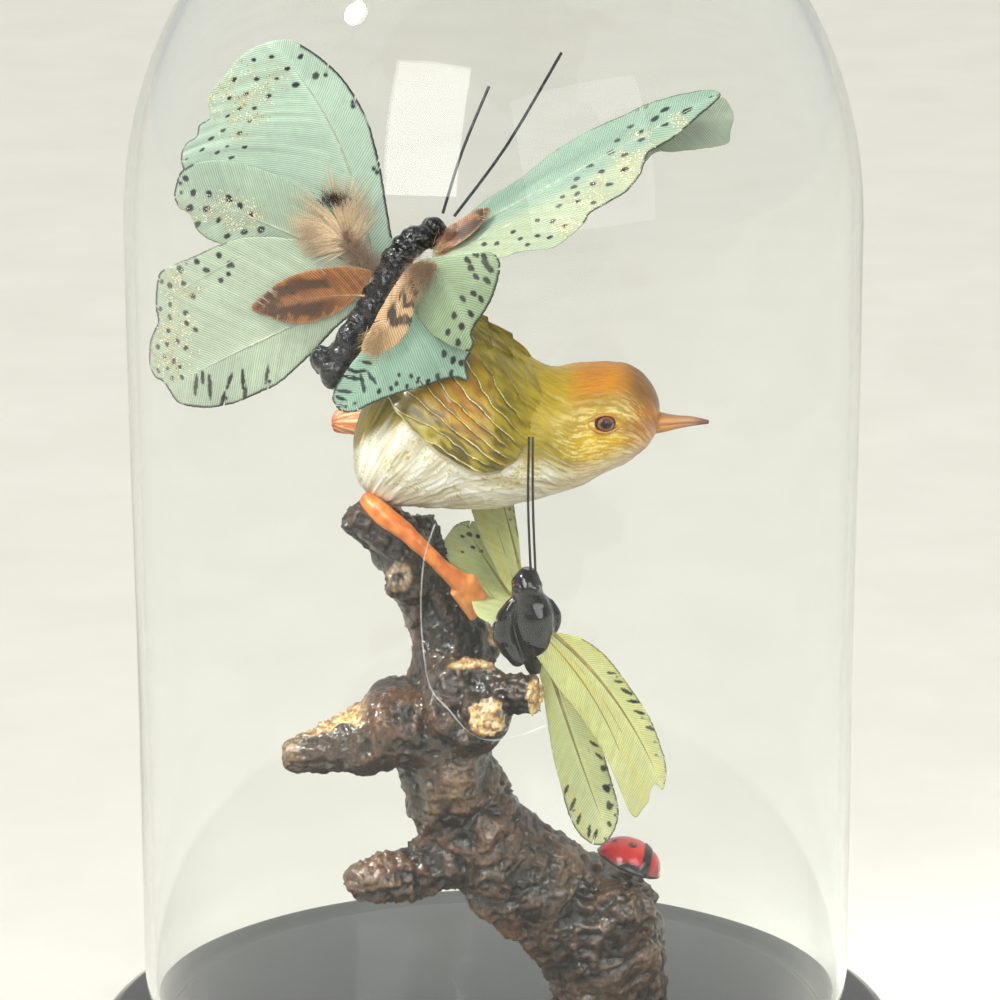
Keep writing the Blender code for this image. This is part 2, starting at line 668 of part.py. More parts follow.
def build_yellow_butterfly():
    body = [
        (8.8, -18.0, 136.6, 2.4),
        (8.8, -18.0, 131.6, 4.8),
        (8.4, -17.8, 126.6, 6.0),
        (7.6, -17.2, 121.2, 5.0),
        (7.4, -16.8, 117.4, 3.0),
        (8.8, -16.4, 114.6, 1.8),
    ]
    item = limb("yellow_butterfly_body", body, rings=12, sides=14, lumps=0.03, turn=0.6, start=0.7, end=0.6)
    give_material(item, BLACK, 0.15)
    for number, lean in ((1, -0.5), (2, 0.6)):
        stops = [(8.8 + lean, -19.0, 139.4), (8.2 + lean, -24.0, 157.0), (8.3 + 0.8 * lean, -28.0, 173.6)]
        antenna = wire(f"yellow_antenna_{number}", stops, 0.3)
        give_material(antenna, BLACK, 0.4)
    stem = wire("yellow_butterfly_wire", [(3.6, 4.0, 121.2), (4.0, -4.0, 123.6), (5.2, -11.6, 124.6)], 0.4)
    give_material(stem, (0.35, 0.35, 0.36), 0.3, metallic=1.0)
    feathers = {
        "yellow_right_fore_feather": (
            (15.4, -20.4, 123.4), (30.0, -21.0, 111.0), (39.6, -21.0, 85.0), (1.0, 0.0, 0.7),
            [1.0, 4.6, 6.6, 6.2, 3.6, 1.6], [1.0, 6.0, 10.4, 12.6, 11.6, 5.0], 0.0, YELLOW_GREEN,
        ),
        "yellow_right_hind_feather": (
            (14.0, -17.4, 118.6), (17.0, -17.6, 100.0), (26.4, -17.6, 73.0), (1.0, 0.0, 0.2),
            [0.8, 3.4, 5.6, 6.4, 6.2, 2.4], [0.8, 2.4, 4.4, 5.6, 5.6, 2.4], 0.0, YELLOW_GREEN,
        ),
        "yellow_left_fore_feather": (
            (6.4, -9.8, 131.4), (5.0, 4.0, 138.0), (0.4, 23.4, 149.6), (-1.0, -0.1, 0.0),
            [1.0, 3.0, 4.6, 5.4, 5.0, 2.0], [1.0, 3.4, 5.0, 5.6, 5.0, 2.0], 0.0, YELLOW_GREEN,
        ),
        "yellow_left_hind_feather": (
            (4.4, -11.0, 129.0), (0.6, 2.0, 131.0), (-7.0, 17.6, 139.6), (-1.0, -0.4, 0.0),
            [0.8, 2.6, 3.6, 4.2, 4.0, 1.6], [0.8, 2.8, 4.4, 5.6, 5.0, 2.0], 0.0, YELLOW_GREEN,
        ),
    }
    build_feathers(feathers)


def build_feathers(feathers):
    for name, (root, bow, tip, side, left, right, curl, colour) in feathers.items():
        give_material(feather(name, root, bow, tip, side, left, right, curl), colour, 0.6)


def build_thread():
    """Clear nylon thread from under the bird down to a turn round the front peg."""
    stops = [
        (-13.8, -16.4, 149.8),
        (-16.4, -16.4, 141.0),
        (-17.2, -16.0, 128.7),
        (-16.4, -18.4, 117.6),
        (-14.8, -23.8, 112.0),
        (-10.6, -27.0, 108.0),
        (-6.6, -28.6, 103.6),
        (-1.6, -29.2, 101.4),
        (4.8, -29.0, 102.2),
        (11.5, -28.6, 104.6),
    ]
    thread = wire("nylon_thread", stops, 0.18, rings=30)
    give_material(thread, (0.8, 0.8, 0.8), 0.2, transmission=0.6)


clear_scene()
build_base()
build_screws()
build_branch()
build_ladybird()
build_bird_body()
build_bird_wing("left", 1)
build_bird_wing("right", -1)
build_bird_limbs()
build_green_butterfly()
build_yellow_butterfly()
build_thread()
build_glass()
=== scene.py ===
import math

import bpy
import numpy as np
from mathutils import Matrix, Vector, noise
from mathutils.geometry import delaunay_2d_cdt


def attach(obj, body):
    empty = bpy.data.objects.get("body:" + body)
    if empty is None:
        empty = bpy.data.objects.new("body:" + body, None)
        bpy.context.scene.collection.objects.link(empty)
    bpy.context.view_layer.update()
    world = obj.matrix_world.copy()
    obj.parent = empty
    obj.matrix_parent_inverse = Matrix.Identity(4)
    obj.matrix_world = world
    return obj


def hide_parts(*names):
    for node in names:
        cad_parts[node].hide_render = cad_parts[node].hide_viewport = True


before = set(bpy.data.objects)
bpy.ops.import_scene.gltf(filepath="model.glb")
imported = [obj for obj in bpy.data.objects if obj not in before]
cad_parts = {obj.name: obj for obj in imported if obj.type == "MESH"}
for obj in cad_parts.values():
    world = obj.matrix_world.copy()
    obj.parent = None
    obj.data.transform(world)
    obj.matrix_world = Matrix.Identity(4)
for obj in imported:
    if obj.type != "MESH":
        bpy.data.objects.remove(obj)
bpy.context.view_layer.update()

MM = 0.001
FRONT_WORLD, REAR_WORLD = 0.07, 0.72
WINDOW_POWER, KEY_POWER, FILL_POWER = 17.0, 2.7, 14.0
# The camera's place in metres, how far it looks down in degrees and its roll in radians
CAMERA_PLACE = (0.0, -1.1156, 0.4622)
CAMERA_DIP, CAMERA_ROLL = 15.597, 0.0037
CAMERA_LENS, CAMERA_SHIFT = 177.67, 0.01045
TURNED_SEGMENTS = 192
BASE, DOME = "base", "dome"
scene = bpy.context.scene
scene.view_settings.view_transform = "Standard"


# ---------------------------------------------------------------- small tools


def vec(values):
    return np.array(values, float)


def smoothstep(low, high, x):
    t = np.clip((np.asarray(x, float) - low) / (high - low), 0.0, 1.0)
    return t * t * (3 - 2 * t)


def mix(a, b, f):
    """Blends colours a and b (n x 3 or 3) by f (n)."""
    f = np.asarray(f, float)[..., None]
    return np.asarray(a, float) * (1 - f) + np.asarray(b, float) * f


def noise_at(points, scale, seed=0.0):
    """Perlin noise from -1 to 1 at each point, in millimetres times scale."""
    shift = Vector((seed * 17.3, seed * -9.1, seed * 5.7))
    return np.array([noise.noise(Vector(p) * scale + shift) for p in points])


def turbulence(points, scale, octaves=3, seed=0.0):
    total = np.zeros(len(points))
    strength = 1.0
    for k in range(octaves):
        total += strength * noise_at(points, scale * 2**k, seed + k)
        strength *= 0.5
    return total


def curve_values(values, t):
    """Catmull-Rom values of an evenly spaced list at each t from 0 to 1."""
    values = np.asarray(values, float)
    t = np.clip(np.asarray(t, float), 0.0, 1.0)
    last = len(values) - 1
    i = np.minimum((t * last).astype(int), last - 1)
    f = t * last - i
    if values.ndim > 1:
        f = f[..., None]
    a = values[np.maximum(i - 1, 0)]
    b = values[i]
    c = values[i + 1]
    d = values[np.minimum(i + 2, last)]
    slope_b = (c - a) * 0.5
    slope_c = (d - b) * 0.5
    rise = c - b
    bend = 3 * rise - 2 * slope_b - slope_c + (slope_b + slope_c - 2 * rise) * f
    return b + (slope_b + bend * f) * f


def unit(v):
    return v / np.maximum(np.linalg.norm(v, axis=-1, keepdims=True), 1e-9)


def stack(*columns):
    """Points from their columns. A plain number fills its whole column."""
    return np.column_stack(np.broadcast_arrays(*columns))


def bowed(first, middle, last, f):
    """Places at each share f of the curve from first to last that middle pulls aside."""
    return first * (1 - f) ** 2 + middle * 2 * f * (1 - f) + last * f**2


def bowed_way(first, middle, last, f):
    """Which way that curve runs at each share f, and how fast."""
    return 2 * (middle - first) * (1 - f) + 2 * (last - middle) * f


def ball_angles(rows, columns, gap):
    """Angles from the pole and round it for a grid of points on a ball, which starts a gap off each pole."""
    theta = np.linspace(gap, math.pi - gap, rows)
    phi = np.linspace(0, 2 * math.pi, columns, endpoint=False)
    down, around = np.meshgrid(theta, phi, indexing="ij")
    return down.ravel(), around.ravel()


def make_mesh(name, points, faces, paint=None, face_slots=None):
    """An object from points in millimetres. paint, n x 3 or n x 4, gives the colour of each point."""
    mesh = bpy.data.meshes.new(name)
    mesh.from_pydata([tuple(p) for p in np.asarray(points) * MM], [], [tuple(f) for f in faces])
    mesh.validate()
    mesh.shade_smooth()
    item = bpy.data.objects.new(name, mesh)
    scene.collection.objects.link(item)
    if paint is not None:
        give_paint(item, paint)
    if face_slots is not None:
        mesh.polygons.foreach_set("material_index", np.asarray(face_slots, np.int32))
    return item


def give_paint(item, paint):
    paint = np.asarray(paint, float)
    if paint.shape[1] == 3:
        paint = np.column_stack([paint, np.zeros(len(paint))])
    layer = item.data.color_attributes.new("paint", "FLOAT_COLOR", "POINT")
    layer.data.foreach_set("color", np.clip(paint, 0.0, 1.0).ravel().astype(np.float32))


def points_of(item):
    flat = np.empty(len(item.data.vertices) * 3, np.float32)
    item.data.vertices.foreach_get("co", flat)
    return flat.reshape(-1, 3).astype(float) / MM


def normals_of(item):
    flat = np.empty(len(item.data.vertices) * 3, np.float32)
    item.data.vertices.foreach_get("normal", flat)
    return flat.reshape(-1, 3).astype(float)


def set_points(item, points):
    item.data.vertices.foreach_set("co", (np.asarray(points) * MM).ravel().astype(np.float32))
    item.data.update()


def grid_faces(rows, columns, start=0, around=False, flip=False):
    """Quads over a rows x columns grid of points. around joins the last column to the first."""
    faces = []
    reach = columns if around else columns - 1
    for i in range(rows - 1):
        for j in range(reach):
            a = start + i * columns + j
            b = start + i * columns + (j + 1) % columns
            quad = (a, b, b + columns, a + columns)
            faces.append(quad[::-1] if flip else quad)
    return faces


def tube_faces(rows, columns, start=0):
    """Quads round a tube of points, with a face over each end."""
    faces = grid_faces(rows, columns, start=start, around=True)
    faces.append(tuple(start + j for j in range(columns))[::-1])
    faces.append(tuple(start + (rows - 1) * columns + j for j in range(columns)))
    return faces


def piece(item, material, body, slot, *nodes):
    """Puts a finished piece on its body, with its material, in place of its CAD nodes."""
    if not isinstance(material, (list, tuple)):
        material = [material]
    item.data.materials.clear()
    for one in material:
        item.data.materials.append(one)
    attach(item, body)
    if nodes:
        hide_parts(*nodes)
    return item


def keep(node, material):
    """Gives a CAD node that stays a better material."""
    item = bpy.data.objects[node]
    item.data.materials.clear()
    item.data.materials.append(material)


def apply_modifiers(item):
    graph = bpy.context.evaluated_depsgraph_get()
    mesh = bpy.data.meshes.new_from_object(
        item.evaluated_get(graph), preserve_all_data_layers=True, depsgraph=graph,
    )
    item.modifiers.clear()
    item.data = mesh


# ---------------------------------------------------------------- camera, floor and light

camera = bpy.data.objects.new("camera", bpy.data.cameras.new("camera"))
scene.collection.objects.link(camera)
scene.camera = camera
camera.location = CAMERA_PLACE
camera.rotation_euler = (math.radians(90 - CAMERA_DIP), CAMERA_ROLL, 0.0)
camera.data.sensor_width = 36.0
camera.data.lens = CAMERA_LENS
camera.data.shift_x = CAMERA_SHIFT
camera.data.clip_start = 0.01
camera.data.clip_end = 50.0


class Nodes:
    """A short way to build one material's node tree."""

    def __init__(self, name):
        self.material = bpy.data.materials.new(name)
        self.material.use_nodes = True
        self.tree = self.material.node_tree
        self.tree.nodes.clear()
        self.output = self.add("OutputMaterial")

    def add(self, kind, **settings):
        node = self.tree.nodes.new("ShaderNode" + kind)
        for key, value in settings.items():
            setattr(node, key, value)
        return node

    def set(self, node, **values):
        for key, value in values.items():
            node.inputs[key.replace("_", " ")].default_value = value
        return node

    def link(self, source, target, output=0):
        out = source if isinstance(source, bpy.types.NodeSocket) else source.outputs[output]
        self.tree.links.new(out, target)

    def plug(self, value, socket):
        """Gives an input its number or colour, or links another node to it."""
        if isinstance(value, (int, float)):
            socket.default_value = value
        elif isinstance(value, tuple):
            socket.default_value = (*value, 1.0)
        else:
            self.link(value, socket)

    def math(self, operation, *values):
        node = self.add("Math", operation=operation)
        for value, socket in zip(values, node.inputs):
            self.plug(value, socket)
        return node.outputs[0]

    def mix_shaders(self, factor, first, second):
        """Sends a mix of two shaders to the output."""
        node = self.add("MixShader")
        for value, socket in zip((factor, first, second), node.inputs):
            self.plug(value, socket)
        self.link(node, self.output.inputs["Surface"])

    def coords(self, scale=1.0):
        """Object coordinates, in which 1 unit is a millimetre at scale 1."""
        place = self.add("TexCoord")
        mapping = self.add("Mapping")
        if isinstance(scale, (int, float)):
            scale = (scale, scale, scale)
        mapping.inputs["Scale"].default_value = [1000.0 * s for s in scale]
        self.link(place.outputs["Object"], mapping.inputs["Vector"])
        return mapping.outputs["Vector"]

    def noise(self, scale, detail=4.0, rough=0.55, stretch=(1.0, 1.0, 1.0)):
        node = self.add("TexNoise")
        self.set(node, Scale=scale, Detail=detail, Roughness=rough)
        self.link(self.coords(stretch), node.inputs["Vector"])
        return node.outputs["Fac"]

    def ramp(self, source, stops):
        node = self.add("ValToRGB")
        while len(node.color_ramp.elements) < len(stops):
            node.color_ramp.elements.new(0.5)
        for element, (place, colour) in zip(node.color_ramp.elements, stops):
            element.position = place
            if isinstance(colour, (int, float)):
                colour = (colour, colour, colour)
            element.color = (*colour, 1.0)
        self.link(source, node.inputs["Fac"])
        return node.outputs["Color"]

    def bump(self, height, strength, distance, normal=None):
        node = self.add("Bump")
        self.set(node, Strength=strength, Distance=distance * MM)
        self.link(height, node.inputs["Height"])
        if normal is not None:
            self.link(normal, node.inputs["Normal"])
        return node.outputs["Normal"]

    def blend(self, a, b, factor, how="MIX"):
        node = self.add("Mix", data_type="RGBA", blend_type=how)
        # A Mix node has its factor at input 0 and its two colours at inputs 6 and 7.
        for value, place in ((factor, 0), (a, 6), (b, 7)):
            self.plug(value, node.inputs[place])
        return node.outputs[2]

    def paint(self):
        node = self.add("Attribute", attribute_name="paint")
        return node.outputs["Color"], node.outputs["Alpha"]

    def principled(self, **values):
        node = self.set(self.add("BsdfPrincipled"), **values)
        self.link(node, self.output.inputs["Surface"])
        return node


def build_stage():
    size = 6.0
    floor = bpy.data.objects.new("floor", bpy.data.meshes.new("floor"))
    corners = [(-size, -size, 0), (size, -size, 0), (size, size, 0), (-size, size, 0)]
    floor.data.from_pydata(corners, [], [(0, 1, 2, 3)])
    scene.collection.objects.link(floor)
    n = Nodes("floor_paint")
    tone = n.ramp(n.noise(0.02, 3.0), [(0.3, (0.72, 0.71, 0.65)), (0.7, (0.76, 0.75, 0.69))])
    place = n.add("SeparateXYZ")
    n.link(n.coords(0.001), place.inputs[0])
    # Painted shade: the floor is painted darker in front of the dome, standing in for the dim room on that
    # side.
    ahead = n.add("MapRange", interpolation_type="SMOOTHSTEP")
    n.set(ahead, From_Min=-0.25, From_Max=-0.75)
    n.link(place.outputs["Y"], ahead.inputs["Value"])
    shader = n.principled(Roughness=0.8)
    n.link(n.blend(tone, (0.30, 0.30, 0.28), ahead.outputs["Result"]), shader.inputs["Base Color"])
    floor.data.materials.append(n.material)

    # The room is bright behind and dim in front, so that the glass carries little haze.
    world = bpy.data.worlds.new("studio")
    scene.world = world
    world.use_nodes = True
    tree = world.node_tree
    background = tree.nodes["Background"]
    place = tree.nodes.new("ShaderNodeTexCoord")
    split = tree.nodes.new("ShaderNodeSeparateXYZ")
    spread = tree.nodes.new("ShaderNodeMapRange")
    spread.inputs["From Min"].default_value = -0.35
    spread.inputs["From Max"].default_value = 0.55
    spread.inputs["To Min"].default_value = FRONT_WORLD
    spread.inputs["To Max"].default_value = REAR_WORLD
    tree.links.new(place.outputs["Generated"], split.inputs[0])
    tree.links.new(split.outputs["Y"], spread.inputs["Value"])
    tree.links.new(spread.outputs["Result"], background.inputs["Strength"])
    background.inputs["Color"].default_value = (0.86, 0.87, 0.84, 1.0)

    def lamp(name, kind, place, target, energy, colour, spin=0.0):
        light = bpy.data.lights.new(name, kind)
        light.energy = energy
        light.color = colour
        item = bpy.data.objects.new(name, light)
        scene.collection.objects.link(item)
        aim = (Vector(target) - Vector(place)).to_track_quat("-Z", "Y").to_matrix().to_4x4()
        item.matrix_world = Matrix.Translation(place) @ aim @ Matrix.Rotation(spin, 4, "Z")
        return item

    def softbox(name, place, target, energy, colour, size, spin=0.0):
        item = lamp(name, "AREA", place, target, energy, colour, spin)
        item.data.shape = "RECTANGLE"
        item.data.size, item.data.size_y = size
        return item

    window_tint = (1.0, 0.99, 0.95)
    window_place = (-0.70, -1.63, 1.20)
    softbox("window_softbox", window_place, (0, 0, 0.22), WINDOW_POWER, window_tint, (0.82, 1.22), 0.05)
    key_tint = (1.0, 0.975, 0.93)
    key = lamp("key_lamp", "SUN", (-0.616, -0.205, 0.761), (0, 0, 0), KEY_POWER, key_tint)
    key.data.angle = math.radians(6.0)
    fill_tint = (0.97, 0.98, 1.0)
    fill = softbox("fill_softbox", (0.9, -1.5, 0.9), (0, 0, 0.15), FILL_POWER, fill_tint, (1.4, 1.2))
    fill.visible_glossy = False


# ---------------------------------------------------------------- materials


def plain(name, colour, roughness, metallic=0.0, grain=0.15, scale=0.8, bump=0.05, coat=0.0):
    """A painted or moulded surface with a little colour and surface variation."""
    n = Nodes(name)
    shader = n.principled(Roughness=roughness, Metallic=metallic, Coat_Weight=coat, Coat_Roughness=0.08)
    dark = tuple(c * (1 - grain) for c in colour)
    light = tuple(min(c * (1 + grain), 1.0) for c in colour)
    spread = n.noise(scale, 5.0)
    n.link(n.ramp(spread, [(0.3, dark), (0.7, light)]), shader.inputs["Base Color"])
    n.link(n.bump(n.noise(scale * 2, 4.0), 0.6, bump), shader.inputs["Normal"])
    return n.material


def lacquer():
    n = Nodes("black_lacquer")
    shader = n.principled(Coat_Weight=0.6, Coat_Roughness=0.03, Specular_IOR_Level=0.5)
    black = n.ramp(n.noise(0.05, 3.0), [(0.3, (0.006, 0.006, 0.007)), (0.7, (0.012, 0.012, 0.013))])
    n.link(black, shader.inputs["Base Color"])
    n.link(n.ramp(n.noise(0.12, 6.0), [(0.35, 0.06), (0.75, 0.16)]), shader.inputs["Roughness"])
    n.link(n.bump(n.noise(0.03, 2.0), 0.02, 0.3), shader.inputs["Normal"])
    return n.material


def clear_glass():
    """Blown glass that lets lamplight through to what stands inside."""
    n = Nodes("clear_glass")
    glass = n.set(n.add("BsdfGlass"), Color=(0.985, 0.992, 0.988, 1.0), Roughness=0.0, IOR=1.36)
    n.link(n.bump(n.noise(0.018, 1.5, stretch=(1.0, 1.0, 0.45)), 0.25, 0.6), glass.inputs["Normal"])
    clear = n.set(n.add("BsdfTransparent"), Color=(0.97, 0.98, 0.975, 1.0))
    n.mix_shaders(n.add("LightPath").outputs["Is Shadow Ray"], glass, clear)
    return n.material


def painted(
    name, roughness, coat=0.3, grain=0.12, scale=1.5, bump=0.08, stretch=(1.0, 1.0, 1.0), coat_rough=0.12,
):
    """A surface that is coloured by its painted points, broken up by fine noise."""
    n = Nodes(name)
    colour, _ = n.paint()
    shader = n.principled(Coat_Weight=coat, Coat_Roughness=coat_rough)
    fine = n.noise(scale, 6.0, 0.6, stretch)
    shade = n.ramp(fine, [(0.3, 1.0 - grain), (0.7, 1.0)])
    n.link(n.blend(colour, shade, 1.0, "MULTIPLY"), shader.inputs["Base Color"])
    rough = n.ramp(fine, [(0.3, roughness * 0.75), (0.7, min(roughness * 1.25, 1.0))])
    n.link(rough, shader.inputs["Roughness"])
    n.link(n.bump(fine, 0.5, bump), shader.inputs["Normal"])
    return n.material


def feather_vane(name, barb_mm=0.62, depth=0.58, glitter=False, glow_share=0.38):
    """Dyed feather vane: fine barbs, light glowing through, and gold flecks where the paint's alpha asks."""
    n = Nodes(name)
    colour, flecks = n.paint()
    place = n.add("UVMap", uv_map="vane")
    split = n.add("SeparateXYZ")
    n.link(place, split.inputs[0])
    # Barbs leave the quill at a slant on both sides, so their lines follow along - slant * |across|.
    across = n.math("ABSOLUTE", split.outputs["Y"])
    slanted = n.math("MULTIPLY_ADD", across, -0.75, split.outputs["X"])
    wobble = n.math("MULTIPLY_ADD", n.noise(0.28, 3.0), 0.9, slanted)
    wave = n.math("SINE", n.math("MULTIPLY", wobble, 2 * math.pi / barb_mm))
    lines = n.add("MapRange")
    n.set(lines, From_Min=-1.0, From_Max=1.0)
    n.link(wave, lines.inputs["Value"])
    tint = n.ramp(lines.outputs["Result"], [(0.0, depth), (0.55, 1.0)])
    mottled = n.ramp(n.noise(0.5, 5.0, 0.6), [(0.3, 0.88), (0.7, 1.0)])
    base = n.blend(n.blend(colour, tint, 1.0, "MULTIPLY"), mottled, 1.0, "MULTIPLY")
    shader = n.principled(Roughness=0.48, Sheen_Weight=0.15, Sheen_Roughness=0.4)
    if glitter:
        spots = n.add("TexVoronoi")
        n.set(spots, Scale=2.1)
        n.link(n.coords(), spots.inputs["Vector"])
        grains = n.math("LESS_THAN", spots.outputs["Distance"], 0.34)
        rare = n.add("SeparateXYZ")
        n.link(spots.outputs["Color"], rare.inputs[0])
        chosen = n.math("MULTIPLY", grains, n.math("LESS_THAN", rare.outputs["X"], flecks))
        gold = n.ramp(
            rare.outputs["Y"],
            [(0.25, (0.42, 0.27, 0.07)), (0.55, (0.95, 0.78, 0.38)), (0.8, (1.0, 0.95, 0.75))],
        )
        base = n.blend(base, gold, chosen)
    n.link(base, shader.inputs["Base Color"])
    n.link(n.bump(lines.outputs["Result"], 0.6, 0.06), shader.inputs["Normal"])
    glow = n.add("BsdfTranslucent")
    n.link(base, glow.inputs["Color"])
    n.mix_shaders(glow_share, shader, glow)
    return n.material


def gritty_black():
    """Wet black paint over lumps, with a few coarse glints."""
    n = Nodes("black_glitter")
    shader = n.principled(Coat_Weight=1.0, Coat_Roughness=0.10, Specular_IOR_Level=0.2)
    cells = n.add("TexVoronoi")
    n.set(cells, Scale=1.3)
    n.link(n.coords(), cells.inputs["Vector"])
    bright = n.ramp(cells.outputs["Color"], [(0.84, (0.005, 0.005, 0.006)), (0.95, (0.06, 0.06, 0.07))])
    n.link(bright, shader.inputs["Base Color"])
    n.link(n.ramp(cells.outputs["Color"], [(0.2, 0.12), (0.8, 0.35)]), shader.inputs["Roughness"])
    wet = n.bump(n.noise(0.45, 2.0), 0.9, 0.7)
    n.link(wet, shader.inputs["Coat Normal"])
    n.link(n.bump(cells.outputs["Distance"], 0.5, 0.05, wet), shader.inputs["Normal"])
    return n.material


def nylon():
    """Clear thread: mostly seen by its shine."""
    n = Nodes("clear_nylon")
    shader = n.principled(Base_Color=(0.80, 0.81, 0.78, 1.0), Roughness=0.15, Coat_Weight=0.8)
    white = n.ramp(n.noise(0.5, 3.0), [(0.3, (0.70, 0.71, 0.68)), (0.7, (0.88, 0.88, 0.85))])
    n.link(white, shader.inputs["Base Color"])
    shine = n.ramp(n.noise(0.12, 3.0), [(0.3, 0.05), (0.7, 0.34)])
    n.mix_shaders(shine, n.add("BsdfTransparent"), shader)
    return n.material


def felt():
    n = Nodes("felt_pad")
    shader = n.principled(Roughness=0.95, Sheen_Weight=0.5, Sheen_Roughness=0.6)
    grey = n.ramp(n.noise(2.5, 8.0, 0.8), [(0.3, 0.012), (0.75, 0.06)])
    n.link(grey, shader.inputs["Base Color"])
    n.link(n.bump(n.noise(4.0, 8.0, 0.8), 1.0, 0.15), shader.inputs["Normal"])
    return n.material


# ---------------------------------------------------------------- base and glass


def turned(profile):
    """Turns a line of (radius, height) points in millimetres about the upright axis."""
    angle = np.linspace(0, 2 * math.pi, TURNED_SEGMENTS, endpoint=False)
    rings = [stack(r * np.cos(angle), r * np.sin(angle), z) for r, z in vec(profile)]
    return np.concatenate(rings), grid_faces(len(rings), TURNED_SEGMENTS, around=True)


def rounded(profile, corners=3):
    """Replaces each inner corner of a profile with a short round."""
    profile = [vec(p) for p in profile]
    out = [profile[0]]
    for before, here, after in zip(profile, profile[1:], profile[2:]):
        reach = min(0.5, 0.3 * min(np.linalg.norm(here - before), np.linalg.norm(after - here)))
        a = here + (before - here) / np.linalg.norm(before - here) * reach
        b = here + (after - here) / np.linalg.norm(after - here) * reach
        for k in range(corners + 1):
            t = k / corners
            out.append(a * (1 - t) ** 2 + here * 2 * t * (1 - t) + b * t * t)
    out.append(profile[-1])
    return out


def build_base():
    profile = [
        (0.01, 2.3), (94.0, 2.3), (95.6, 3.4), (96.2, 7.0), (96.5, 8.8), (97.3, 10.4), (97.5, 13.5),
        (97.0, 16.6), (95.7, 18.8), (93.4, 20.0), (82.8, 20.0), (82.8, 16.0), (79.9, 16.0), (79.9, 20.9),
        (79.3, 21.5), (0.01, 21.5),
    ]
    points, faces = turned(rounded(profile))
    item = make_mesh("turned_plinth", points, faces)
    piece(item, lacquer(), BASE, "black_lacquer", "base_plinth")
    for number in range(1, 5):
        keep(f"foot_pad_{number}", felt_material)
    for number in (1, 2):
        keep(f"branch_screw_{number}", steel_material)


def build_glass():
    outer = [(81.7, 16.3), (82.2, 16.9), (82.2, 23.0), (82.7, 27.0), (83.4, 30.5), (84.2, 34.0), (84.4, 38.0)]
    inner = [(80.8, 16.3), (80.4, 16.9), (80.4, 23.5), (80.8, 27.5), (81.4, 31.0), (82.0, 34.5), (82.2, 38.0)]
    # Above the waist the wall runs almost straight up to the spring, where the elliptical crown begins.
    wall, waist, spring = 2.2, 38.0, 218.6
    radius, rise = 85.3, 95.0
    straight_rings, crown_rings = 13, 30
    for k in range(1, straight_rings):
        z = waist + (spring - waist) * k / straight_rings
        out = radius - 0.9 + 0.9 * smoothstep(90.0, 212.0, z)
        outer.append((out, z))
        inner.append((out - wall, z))
    for k in range(crown_rings + 1):
        lean = math.radians(89.6 * k / crown_rings)
        outer.append((radius * math.cos(lean), spring + rise * math.sin(lean)))
        inner.append(((radius - wall) * math.cos(lean), spring + (rise - wall) * math.sin(lean)))
    loop = outer[::-1] + [(81.25, 16.1)] + inner
    points, faces = turned(loop[::-1])
    # Fans close the small holes that are left at the crown, inside and outside.
    under, over = len(points), len(points) + 1
    last_ring = under - TURNED_SEGMENTS
    points = np.concatenate([points, [(0, 0, spring + rise - wall), (0, 0, spring + rise)]])
    for j in range(TURNED_SEGMENTS):
        k = (j + 1) % TURNED_SEGMENTS
        faces.append((under, k, j))
        faces.append((last_ring + j, last_ring + k, over))
    item = make_mesh("blown_bell", points, faces)
    piece(item, clear_glass(), DOME, "clear_glass", "glass_dome")


# ---------------------------------------------------------------- limbs


def limb_points(stops, rings, sides, end, start=0.0, flat=1.0):
    """Points and faces of a closed tapering limb through (x, y, z, radius) stops, in millimetres. start and
    end are how far each end bulges, in radii."""
    stops = vec(stops)
    t = np.linspace(0, 1, rings + 1)
    centres = curve_values(stops[:, :3], t)
    radii = np.maximum(curve_values(stops[:, 3], t), 0.1)
    ahead = unit(np.gradient(centres, axis=0))
    slices = []
    side = None
    for i in range(rings + 1):
        side = np.cross(ahead[i], vec((0.3, 1.0, 0.2))) if side is None else side
        side = unit(side - ahead[i] * side.dot(ahead[i]))
        slices.append((centres[i], radii[i], side, np.cross(ahead[i], side), ahead[i]))
    for reach, which, sign in ((end, -1, 1.0), (start, 0, -1.0)):
        if not reach:
            continue
        centre, radius, across, up, forward = slices[which]
        extra = []
        for lean in (20, 40, 58, 72, 83):
            angle = math.radians(lean)
            tip = centre + forward * sign * radius * reach * math.sin(angle)
            extra.append((tip, radius * math.cos(angle), across, up, forward))
        slices = slices + extra if sign > 0 else extra[::-1] + slices
    angle = np.linspace(0, 2 * math.pi, sides, endpoint=False)
    points = []
    for centre, radius, across, up, _ in slices:
        sideways = across * radius * np.cos(angle)[:, None]
        points.append(centre + sideways + up * radius * flat * np.sin(angle)[:, None])
    return np.concatenate(points), tube_faces(len(slices), sides)


def blob(stops, rings, sides, bulge=0.9):
    """A short limb with the same bulge at both ends."""
    return limb_points(stops, rings, sides, end=bulge, start=bulge)


def join_parts(parts):
    """One list of points and faces from several."""
    points = []
    faces = []
    count = 0
    for some, quads in parts:
        points.append(some)
        faces += [tuple(v + count for v in quad) for quad in quads]
        count += len(some)
    return np.concatenate(points), faces


def fused(name, parts, voxel, smooth=4):
    """Melts overlapping closed shapes into one skin."""
    points, faces = join_parts(parts)
    item = make_mesh(name, points, faces)
    remesh = item.modifiers.new("melt", "REMESH")
    remesh.mode = "VOXEL"
    remesh.voxel_size = voxel * MM
    relax = item.modifiers.new("relax", "SMOOTH")
    relax.factor = 0.5
    relax.iterations = smooth
    apply_modifiers(item)
    item.data.shade_smooth()
    return item


# ---------------------------------------------------------------- branch

